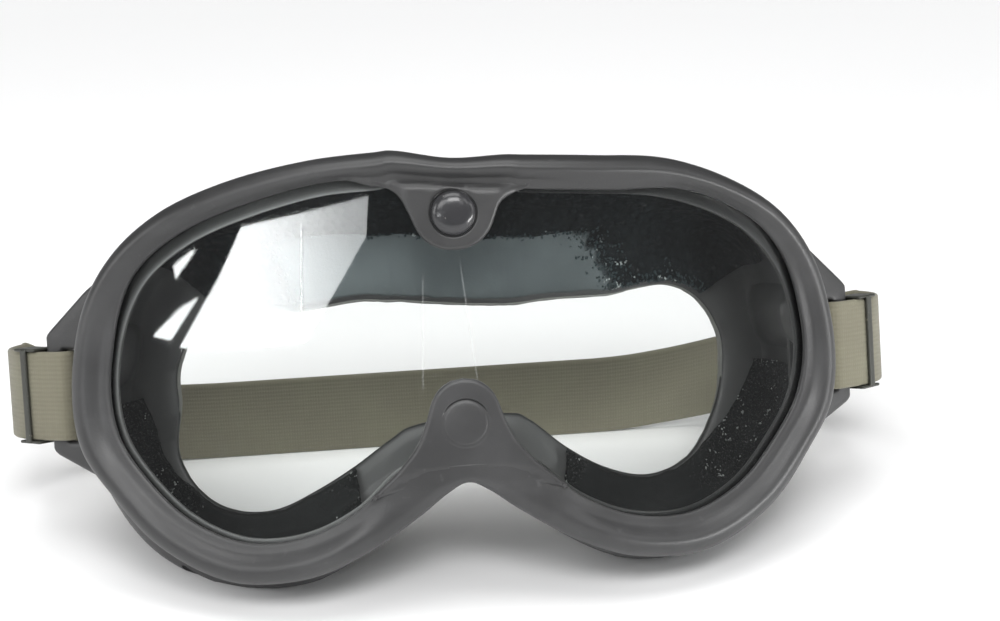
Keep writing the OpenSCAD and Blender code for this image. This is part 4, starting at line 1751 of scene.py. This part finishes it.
@dataclass
class StitchRows:
    """Short raised threads that follow straight seams."""

    name: str
    pitch: float = 0.0022
    length: float = 0.0017
    thick: float = 0.0005

    def tree(self) -> Tree:
        """The nodes that lay a stitch at every pitch along a seam.

        Returns:
            The tree.
        """
        inputs = {"Pitch": "Float", "Length": "Float", "Thickness": "Float", "Thread": "Material"}
        build = GeometryTree(f"{self.name}_nodes", inputs)
        node, source = build.node, build.source
        curve = node("GeometryNodeMeshToCurve", None, {"Mesh": source["Geometry"]})
        spread = node("GeometryNodeResampleCurve", {"mode": "LENGTH"},
                      {"Curve": curve.outputs["Curve"], "Length": source["Pitch"]})
        bead = node("GeometryNodeMeshUVSphere", None, {"Segments": 8, "Rings": 6, "Radius": 0.5})
        size = node("ShaderNodeCombineXYZ", None,
                    {"X": source["Thickness"], "Y": source["Thickness"], "Z": source["Length"]})
        tangent = node("GeometryNodeInputTangent")
        turn = node("FunctionNodeAlignRotationToVector", {"axis": "Z"}, {"Vector": tangent.outputs[0]})
        place = node("GeometryNodeInstanceOnPoints", None,
                     {"Points": spread.outputs["Curve"], "Instance": bead.outputs["Mesh"],
                      "Rotation": turn.outputs["Rotation"], "Scale": size.outputs[0]})
        return build.finish(place.outputs["Instances"], source["Thread"])

    def build(self, seams: Sequence[Array], thread: Material) -> Object:
        """Lays the stitches.

        Args:
            seams: for each seam its two ends, in metres.
            thread: the thread's finish.

        Returns:
            The linked object, a plain mesh.
        """
        points = np.concatenate(seams)
        data = bpy.data.meshes.new(self.name)
        data.from_pydata(points.tolist(), [(2 * i, 2 * i + 1) for i in range(len(seams))], [])
        obj = linked(self.name, data)
        values = {"Pitch": self.pitch, "Length": self.length, "Thickness": self.thick, "Thread": thread}
        return GeometryTree.run(obj, self.tree(), values)


@dataclass
class Slide:
    """A bent metal frame: a flat front bar, two end plates and two rear bars."""

    side: Side
    rest: float = -42.0
    front_r: float = 24.95
    metal: float = 0.9
    bar: float = 2.2
    rear_r: float = 20.6
    rear_half: float = 9.5
    wire: float = 0.7
    plate: float = 0.7
    plate_low: float = 11.2

    def spot(self, flat: Array, up: Array) -> Array:
        """Row-frame places of points given as [out, along] in the slide's own frame.

        Args:
            flat: the points.
            up: their heights over the middle.

        Returns:
            The places in metres.
        """
        a = math.radians(self.rest)
        c, s = math.cos(a), math.sin(a)
        x = WING.centre()[0] + flat[:, 0] * c - flat[:, 1] * s
        y = WING.centre()[1] + flat[:, 0] * s + flat[:, 1] * c
        return WING.place(np.stack([x, y], -1), self.side, WING.level + up)

    def build(self, finish: Material) -> Object:
        """Builds and dresses the slide.

        Args:
            finish: the enamel.

        Returns:
            The piece.
        """
        solid = Solid(f"{self.side.word()}_slide_metal")
        high = self.plate_low + 0.5 * self.plate
        end, edge = high + 0.3, 0.5 * self.bar
        corners = [[-end, -edge], [end, -edge], [end, edge], [-end, edge]]

        def in_front(flat: Array, depth: Array) -> Array:
            """Turns the flat bar to the front of the slide."""
            return self.spot(np.stack([self.front_r + depth, flat[:, 1]], -1), flat[:, 0])

        Slab(fillet(corners, 0.8), 0.0, self.metal, 0.4, grid=3.0).add_to(solid, in_front)
        half = math.radians(self.rear_half + 2.2)
        inner, outer = self.rear_r - self.wire - 0.4, self.front_r + self.metal
        ends = ((inner, -half), (outer, -0.8 * half), (outer, 0.8 * half), (inner, half))
        shape = [[r * math.cos(a), r * math.sin(a)] for r, a in ends]
        for low in (self.plate_low, -self.plate_low - self.plate):
            Slab(fillet(shape, 0.9), low, low + self.plate, 0.3, grid=3.0).add_to(solid, self.spot)
        for angle in (-self.rear_half, self.rear_half):
            t = math.radians(angle)
            middle = np.array([self.rear_r * math.cos(t), self.rear_r * math.sin(t)])
            rings = []
            for up in np.linspace(-high, high, 9):
                rings.append(self.spot(middle + circle(0, 0, self.wire, 16), np.full(16, up)))
            solid.loft(np.array(rings), closed=False)
        obj = outward(solid.mesh(45))
        return finish_piece(obj, finish, "slide_metal", self.side.slide(), f"{self.side.word()}_slide")


@dataclass
class FoamStrip:
    """A foam lining that follows the rows, with a crumbled surface."""

    name: str
    node: str
    start: float
    stop: float
    profile: Callable[[Array], Array]
    crumble: float = 0.7
    grain: float = 260.0
    per_row: int = 12
    steps: int = 4
    fill: float = 0.5
    skin: Callable[[Array, Array], Array] | None = None

    def build(self, finish: Material, slot: str) -> Object:
        """Args:
            finish: its material.
            slot: the record's slot.

        Returns:
            The piece, with the numbers skin (where it is whole) and loose (where crumbs lie).
        """
        ring = abs(self.stop - self.start - len(OUTLINE.rows)) < 1e-6
        count = int(round((self.stop - self.start) * self.per_row))
        rows = OUTLINE.at(self.start + np.arange(count if ring else count + 1) / self.per_row)
        coarse = self.profile(rows)
        nxt = np.roll(coarse, -1, 1)
        shares = [coarse[:, :, None] * (1 - k / self.steps) + nxt[:, :, None] * k / self.steps
                  for k in range(self.steps)]
        fine = np.concatenate(shares, 2).reshape(len(rows), -1, 2)
        points = STANCE.to_row(OUTLINE.placed(rows, fine))
        solid = Solid(self.name)
        solid.loft(points, closed=ring)
        obj = outward(solid.mesh(180))
        smooth = obj.modifiers.new("soften", "SMOOTH")
        smooth.factor, smooth.iterations = 0.5, 2
        applied(obj)
        co, normals = per_point(obj.data), per_point(obj.data, "normal")
        spots = [Vector(p) * self.grain for p in co]
        rough = np.array([noise.noise(p) + 0.5 * noise.noise(p * 2.7) for p in spots])
        co -= normals * (0.5 + 0.5 * rough[:, None]).clip(0, 1.2) * self.crumble * MM
        obj.data.vertices.foreach_set("co", co.ravel())
        obj.data.update()
        station = np.tile(np.arange(len(fine[0])) / self.steps, len(rows))
        whole, loose = np.ones(len(co)), np.zeros(len(co))
        if self.skin is not None:
            whole = self.skin(station, np.repeat(rows[:, 0], len(fine[0])))
            loose = np.clip(1.0 - np.abs(whole - 0.45) / 0.4, 0, 1)
        for label, values in (("skin", whole), ("loose", loose)):
            layer = obj.data.attributes.new(label, "FLOAT", "POINT")
            layer.data.foreach_set("value", values)
        finish_piece(obj, finish, slot, Body.GOGGLES, self.node)
        return obj


@dataclass
class Crumbs:
    """Foam crumbs scattered where a filter is loose."""

    name: str
    density: float
    size: float
    seed: int

    def tree(self) -> Tree:
        """The nodes that scatter the crumbs on the faces by the number loose.

        Returns:
            The tree.
        """
        inputs = {"Density": "Float", "Size": "Float", "Seed": "Int", "Crumb": "Material"}
        build = GeometryTree(f"{self.name}_nodes", inputs)
        node, source = build.node, build.source
        loose = node("GeometryNodeInputNamedAttribute", {"data_type": "FLOAT"}, {"Name": "loose"})
        amount = node("ShaderNodeMath", {"operation": "MULTIPLY"},
                      {0: loose.outputs["Attribute"], 1: source["Density"]})
        spread = node("GeometryNodeDistributePointsOnFaces", None,
                      {"Mesh": source["Geometry"], "Density": amount.outputs[0], "Seed": source["Seed"]})
        grain = node("GeometryNodeMeshIcoSphere", None, {"Radius": 0.5, "Subdivisions": 1})
        spin = node("FunctionNodeRandomValue", {"data_type": "FLOAT_VECTOR"},
                    {"Max": (6.3, 6.3, 6.3), "Seed": source["Seed"]})
        scale = node("FunctionNodeRandomValue", {"data_type": "FLOAT_VECTOR"},
                     {"Min": (0.3, 0.3, 0.2), "Max": (1.5, 1.0, 0.8), "Seed": source["Seed"]})
        sized = node("ShaderNodeVectorMath", {"operation": "SCALE"},
                     {0: scale.outputs["Value"], "Scale": source["Size"]})
        place = node("GeometryNodeInstanceOnPoints", None,
                     {"Points": spread.outputs["Points"], "Instance": grain.outputs["Mesh"],
                      "Rotation": spin.outputs["Value"], "Scale": sized.outputs["Vector"]})
        return build.finish(place.outputs["Instances"], source["Crumb"])

    def build(self, pad: Object, finish: Material) -> Object:
        """Scatters the crumbs over a pad.

        Args:
            pad: the filter that carries them.
            finish: their material.

        Returns:
            The crumbs as one plain mesh.
        """
        obj = linked(self.name, pad.data.copy())
        values = {"Density": self.density, "Size": self.size, "Seed": self.seed, "Crumb": finish}
        made = GeometryTree.run(obj, self.tree(), values)
        return finish_piece(made, finish, "foam", Body.GOGGLES)


@dataclass
class Linings:
    """The foam filters and the felt on the face flange."""

    wall: float = 3.2
    flange: float = 2.6
    foam: float = 3.0
    felt: float = 2.0
    seat: float = 0.3

    def stances(self, r: Array) -> tuple[Array, ...]:
        """The moulding's width, stances, inset and depth at each row.

        Args:
            r: rows of the outline.

        Returns:
            The six, one number for each row.
        """
        w = OUTLINE.width(r)
        m, h = w + r[:, 5], w + r[:, 6]
        return w, m, h, 0.4 * m + 0.6 * h + 0.6, r[:, 7], OUTLINE.depth(r)

    def brow(self, r: Array) -> Array:
        """The brow filter's profile, down the wall and on the flange.

        Args:
            r: rows of the outline.

        Returns:
            The profile, as [outwards, back].
        """
        w, m, h, mid, q, dr = self.stances(r)
        f, t, s = self.flange, self.foam, self.seat
        wall, front = mid - self.wall - s, 0.67 * m + 0.33 * mid - self.wall - s
        corner, bend = h - self.wall - 0.15 * f - s, h - self.wall - f
        points = [[front, 0.56 * dr], [wall, 0.72 * dr], [corner, dr - 2.15 * f - s],
                  [bend - 0.5 * s, dr - 1.15 * f - s], [0.9 - q, dr - f - s], [1.5 - q, dr - f - s - t],
                  [bend - 0.7 * t, dr - 1.15 * f - s - t], [corner - t, dr - 2.15 * f - s - 0.5 * t],
                  [wall - t, 0.72 * dr - 0.3 * t], [front - t, 0.56 * dr]]
        return np.stack([np.stack(p, -1) for p in points], 1)

    def cheek(self, r: Array) -> Array:
        """A cheek filter's profile, down the lower wall and along the flange.

        Args:
            r: rows of the outline.

        Returns:
            The profile, as [outwards, back].
        """
        w, m, h, mid, q, dr = self.stances(r)
        f, t, s, z = self.flange, self.foam, self.seat, np.zeros_like(w)
        inner, wall, corner = m - self.wall - s, mid - self.wall - s, h - self.wall - 0.15 * f - s
        bend = h - self.wall - f
        edge = np.minimum(-0.2 - q + 0.5 * np.maximum(0, r[:, 1] + 17), bend - t - 0.8)
        points = [[inner - 0.4, z + 15], [wall, 0.72 * dr], [corner, dr - 2.15 * f - s],
                  [bend - 0.5 * s, dr - 1.15 * f - s], [edge, dr - f - s], [edge + 0.5, dr - f - s - t],
                  [bend - 0.7 * t, dr - 1.15 * f - s - t], [corner - t, dr - 2.15 * f - s - 0.5 * t],
                  [wall - t, 0.72 * dr - 0.3 * t], [inner - t, z + 15]]
        return np.stack([np.stack(p, -1) for p in points], 1)

    def face(self, r: Array) -> Array:
        """The felt's profile on the flange, crowned towards the face.

        Args:
            r: rows of the outline.

        Returns:
            The profile, as [outwards, back].
        """
        w, m, h, mid, q, dr = self.stances(r)
        d, f, t = dr + 0.15, self.flange, self.felt
        over = 0.8 * smoothstep(-8, 4, r[:, 1]) - 0.3
        points = [[h - 1.9 * f, d], [h - 2.0 * f, d + 0.6 * t], [h - 2.5 * f, d + t],
                  [0.5 * (h - 2.5 * f) + 0.5 * (2.4 - q), d + 1.12 * t],
                  [0.9 - over - q, d + t], [-over - q, d + 0.5 * t], [-over - 0.1 - q, dr - 0.5 * f],
                  [0.5 - over - q, dr - 0.9 * f], [1.4 - over - q, dr - 0.5 * f]]
        return np.stack([np.stack(p, -1) for p in points], 1)

    @staticmethod
    def brow_skin(station: Array, across: Array) -> Array:
        """Where the brow filter is whole: on the flange, but not along its bend and at its right end.

        Args:
            station: places in the profile.
            across: places across.

        Returns:
            One where it is whole.
        """
        wander = np.array([noise.noise(Vector((u * 0.09, k * 0.8, 3.1))) for u, k in zip(across, station)])
        bend = 6.6 - 1.45 * smoothstep(27, 60, across)
        flange = smoothstep(bend + 0.12, bend - 0.12, station + 0.3 * wander) * (station > 4.2)
        along = smoothstep(bend - 0.55, bend - 0.35, station + 0.4 * wander) * smoothstep(-28, -22, across)
        worn = smoothstep(-3.0, 3.0, across - 46 + 10 * (station - 5.1) + wander * 7)
        return flange * (1 - 0.58 * np.maximum(along, worn)) * smoothstep(-54, -46, across)

    @staticmethod
    def cheek_skin(station: Array, across: Array) -> Array:
        """Where a cheek filter is whole, with both ends crumbled.

        Args:
            station: places in the profile.
            across: places across.

        Returns:
            One where it is whole.
        """
        wander = np.array([noise.noise(Vector((u * 0.12, k * 0.9, 7.7))) for u, k in zip(across, station)])
        far = np.abs(across) + wander * 7
        worn = smoothstep(36.0, 29.0, far) + smoothstep(66.0, 72.0, far)
        return np.where(station > 4.4, 1.0 - 0.6 * np.clip(worn, 0, 1), 0.0)

    def build(self, palette: Palette) -> list[Object]:
        """Builds every lining and the crumbs on the filters.

        Args:
            palette: the finishes.

        Returns:
            The linings, then the crumbs.
        """
        brow = FoamStrip("brow_filter_foam", "brow_filter", -6, 6.8, self.brow, 0.8, skin=self.brow_skin)
        right = FoamStrip("right_cheek_foam", "right_cheek_filter", 8.5, 14, self.cheek, 0.8,
                          skin=self.cheek_skin)
        left = FoamStrip("left_cheek_foam", "left_cheek_filter", 20, 25.5, self.cheek, 0.8,
                         skin=self.cheek_skin)
        felt = FoamStrip("face_felt_pad", "face_felt", 0, 34, self.face, 0.25,
                         grain=500.0, per_row=8, steps=2)
        pads = [brow.build(palette.brow_foam, "foam"), right.build(palette.cheek_foam, "foam"),
                left.build(palette.cheek_foam, "foam"), felt.build(palette.felt, "felt")]
        dry = palette.cheek_crumbs
        crumbs = [Crumbs("brow_crumbs", 2.0e6, 0.001, 3).build(pads[0], palette.crumbs),
                  Crumbs("right_crumbs", 1.2e6, 0.0008, 5).build(pads[1], dry),
                  Crumbs("left_crumbs", 1.2e6, 0.0008, 8).build(pads[2], dry)]
        return pads + crumbs


class SmallMetal:
    """The sockets, studs and posts, which keep their CAD shape."""

    names: tuple[str, ...] = ("top_snap_socket", "top_snap_stud", "top_snap_post",
                              "nose_snap_socket", "nose_snap_stud", "nose_snap_post")

    def dress(self, finish: Material) -> None:
        """Gives each of them the blackened metal.

        Args:
            finish: the metal.
        """
        for name in self.names:
            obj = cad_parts[name]
            if not obj.material_slots:
                obj.data.materials.append(finish)
            for slot in obj.material_slots:
                slot.material = finish


@dataclass
class Studio:
    """Camera, lamps, floor and backdrop."""

    place: Spot = (-0.02875, -0.5371, 0.3018)
    yaw: float = 4.3
    pitch: float = 24.3
    roll: float = -1.9
    lens: float = 86.33
    panes: tuple[tuple[str, tuple[Spot, ...]], ...] = (
        ("main", ((-0.623, -0.792, 0.337), (-0.224, -0.943, 0.408), (-0.239, -0.949, 0.382),
                  (-0.45, -0.904, 0.296), (-0.811, -0.666, 0.21), (-0.697, -0.751, 0.288))),
        ("low", ((-0.754, -0.709, 0.26), (-0.805, -0.665, 0.237), (-0.874, -0.595, 0.193),
                 (-0.832, -0.643, 0.207))),
        ("high", ((-0.753, -0.701, 0.29), (-0.771, -0.685, 0.283), (-0.815, -0.647, 0.26),
                  (-0.811, -0.654, 0.253))))
    glow: float = 15.0

    def pane(self, name: str, corners: tuple[Spot, ...]) -> None:
        """Adds one pane of the bright softbox that the lens mirrors, unseen by the camera itself.

        Args:
            name: the pane's own word.
            corners: its corners in metres.
        """
        s = Shader(f"softbox_{name}")
        across = s.axis(0, s.coords())
        fade = 1.0 - across.above(-0.62, -0.22) * 0.65
        light = s.principled({"Base Color": (0, 0, 0, 1), "Roughness": 1.0, "Emission Strength": self.glow,
                              "Emission Color": s.mix(fade, (0.0, 0.0, 0.0), (0.97, 0.99, 1.0))})
        solid = Solid(f"softbox_{name}")
        solid.add(np.array(corners), [list(range(len(corners)))])
        obj = solid.mesh()
        obj.data.materials.append(s.end(light))
        obj.visible_camera = False

    def camera(self) -> None:
        """Sets the camera where the photograph was taken from."""
        yaw, pitch, roll = (math.radians(v) for v in (self.yaw, self.pitch, self.roll))
        level = math.cos(pitch)
        ahead = np.array([math.sin(yaw) * level, math.cos(yaw) * level, -math.sin(pitch)])
        right = np.array([math.cos(yaw), -math.sin(yaw), 0.0])
        up = np.cross(right, ahead)
        right2 = math.cos(roll) * right + math.sin(roll) * up
        up2 = -math.sin(roll) * right + math.cos(roll) * up
        data = bpy.data.cameras.new("camera")
        data.lens, data.sensor_width, data.sensor_fit = self.lens, 36.0, "HORIZONTAL"
        data.clip_start, data.clip_end = 0.01, 20.0
        camera = linked("camera", data)
        turn = Matrix([[right2[i], up2[i], -ahead[i]] for i in range(3)])
        camera.matrix_world = Matrix.Translation(self.place) @ turn.to_4x4()
        bpy.context.scene.camera = camera

    @staticmethod
    def lamp(name: str, place: Spot, aim: Spot, size: tuple[float, float], watts: float) -> None:
        """Adds a soft rectangular lamp that points at aim.

        Args:
            name: its name.
            place: where it stands, in metres.
            aim: what it points at.
            size: width and height.
            watts: its power.
        """
        data = bpy.data.lights.new(name, "AREA")
        data.shape, data.size, data.size_y, data.energy = "RECTANGLE", size[0], size[1], watts
        lamp = linked(name, data)
        lamp.location = place
        lamp.rotation_euler = (Vector(aim) - Vector(place)).to_track_quat("-Z", "Y").to_euler()
        lamp.visible_camera = False

    def world(self) -> None:
        """A grey studio that the camera sees as white."""
        world = bpy.data.worlds.new("studio")
        bpy.context.scene.world = world
        world.use_nodes = True
        build = Builder(world.node_tree)
        build.tree.nodes.clear()
        path = build.node("ShaderNodeLightPath")
        dim = build.node("ShaderNodeBackground", None, {"Color": (0.97, 0.98, 1.0, 1), "Strength": 0.13})
        white = build.node("ShaderNodeBackground", None, {"Color": (1, 1, 1, 1), "Strength": 1.0})
        mix = build.node("ShaderNodeMixShader", None,
                         {0: path.outputs["Is Camera Ray"], 1: dim.outputs[0], 2: white.outputs[0]})
        build.node("ShaderNodeOutputWorld", None, {0: mix.outputs[0]})

    def floor(self) -> None:
        """A pale floor that runs far back, where the camera sees it as white."""
        s = Shader("pale_floor")
        cloud = s.noise(3.0, 2.0)
        colour = s.mix(cloud, (0.93, 0.93, 0.93), (0.95, 0.95, 0.95))
        near = s.principled({"Base Color": colour, "Roughness": 0.85, "Specular IOR Level": 0.1})
        white = s.principled({"Base Color": (0, 0, 0, 1), "Specular IOR Level": 0.0,
                              "Emission Strength": 1.0, "Emission Color": (1, 1, 1, 1)})
        where = s.coords()
        x, y = s.axis(0, where), s.axis(1, where)
        seen = Num(s, s.node("ShaderNodeLightPath").outputs["Is Camera Ray"])
        far = seen * (x * x + y * y).above(0.07, 0.5)
        both = s.node("ShaderNodeMixShader", None, {0: far, 1: near.outputs[0], 2: white.outputs[0]})
        material = s.end(both)
        n, size = 8, 6.0
        grid = np.linspace(-size, size, n + 1)
        points = [[x, y, 0.0] for y in grid for x in grid]
        starts = [j * (n + 1) + i for j in range(n) for i in range(n)]
        faces = [[k, k + 1, k + n + 2, k + n + 1] for k in starts]
        solid = Solid("floor")
        solid.add(np.array(points), faces)
        obj = solid.mesh()
        obj.data.materials.append(material)

    def build(self) -> None:
        """Builds the whole studio."""
        scene = bpy.context.scene
        scene.view_settings.view_transform = "Standard"
        self.camera()
        self.world()
        self.floor()
        self.lamp("key", (-0.7, -1.0, 1.1), (0, 0, 0.03), (0.8, 0.6), 7.5)
        self.lamp("top", (0.0, 0.0, 1.25), (0, 0, 0.03), (1.0, 0.8), 9.5)
        self.lamp("front", (0.1, -0.95, 1.1), (0, 0, 0.03), (0.6, 0.4), 9.5)
        self.lamp("fill", (0.95, -0.6, 1.1), (0, 0, 0.03), (0.6, 0.5), 2.0)
        self.lamp("low", (0.42, -0.3, 0.014), (0.06, -0.03, 0.03), (0.3, 0.02), 1.4)
        self.lamp("left", (-1.1, -0.12, 0.4), (0, 0, 0.04), (0.5, 0.6), 3.4)
        self.lamp("right", (1.1, -0.1, 0.4), (0, 0, 0.04), (0.3, 0.5), 1.6)
        for name, corners in self.panes:
            self.pane(name, corners)


# The right halves of the flaps' outlines, as [across, up], and the caps' profiles, as [radius, depth].
NOSE_HALF = ((0, 10.5), (3.2, 9.9), (5.9, 8.1), (7.7, 5.3), (8.9, 1.7), (10.4, -2.2), (12.3, -5.6),
             (14.2, -7.9), (15.9, -9.8), (18.2, -12.0), (21.0, -14.4), (23.2, -16.9), (20, -16.2),
             (8, -13.5), (0, -12.8))
TOP_HALF = ((0, 40.6), (2.8, 40.9), (5.4, 42.0), (7.3, 43.6), (8.7, 45.6), (9.8, 48.2), (10.7, 50.4),
            (12.1, 52.6), (14.3, 54.3), (17.2, 55.3), (18.4, 56.4), (16, 58.2), (8, 58.2), (0, 58.2))
TOP_CAP = ((0, -4.75), (1.6, -4.72), (3.1, -4.55), (4.2, -4.15), (4.9, -3.5), (5.2, -2.9),
           (5.25, -2.35), (5.1, -2.0), (2.0, -1.9), (0, -1.9))
NOSE_CAP = ((0, -3.0), (2.0, -2.98), (3.8, -2.9), (4.9, -2.76), (5.35, -2.5), (5.45, -2.2),
            (5.2, -1.95), (2.0, -1.9), (0, -1.9))


def main() -> None:
    """Builds the goggles piece by piece."""
    logging.basicConfig(level=logging.INFO, format="%(name)s: %(message)s")
    Studio().build()
    palette = Palette()
    RubberFrame().build(palette.rubber)
    LensSheet().build(palette.lens)
    flaps = [SnapFlap("top_flap_rubber", "top_flap", Body.TOP_FLAP, TOP_HALF, level=SNAP_LEVEL,
                      ring=5.35, groove=0.35, hinge=(56.2, 54.2)),
             SnapFlap("nose_flap_rubber", "nose_flap", Body.NOSE_FLAP, NOSE_HALF, level=0.0,
                      ring=5.5, groove=0.5, hinge=(-9.6, -7.0))]
    for flap in flaps:
        flap.build(palette.rubber)
    top_cap = SnapCap("top_cap_metal", "top_snap_cap", Body.TOP_FLAP, SNAP_LEVEL, TOP_CAP, "snap_metal")
    nose_cap = SnapCap("nose_cap_cover", "nose_snap_cap", Body.NOSE_FLAP, 0.0, NOSE_CAP, "rubber_cap")
    top_cap.build(palette.cap)
    nose_cap.build(palette.rubber)
    SmallMetal().dress(palette.plain_metal)
    Headband().build(palette.webbing)
    for side in Side:
        Slide(side).build(palette.slide)
        SewnEnd(side).build(palette.webbing, palette.thread)
    Linings().build(palette)


if __name__ == "__main__":
    main()
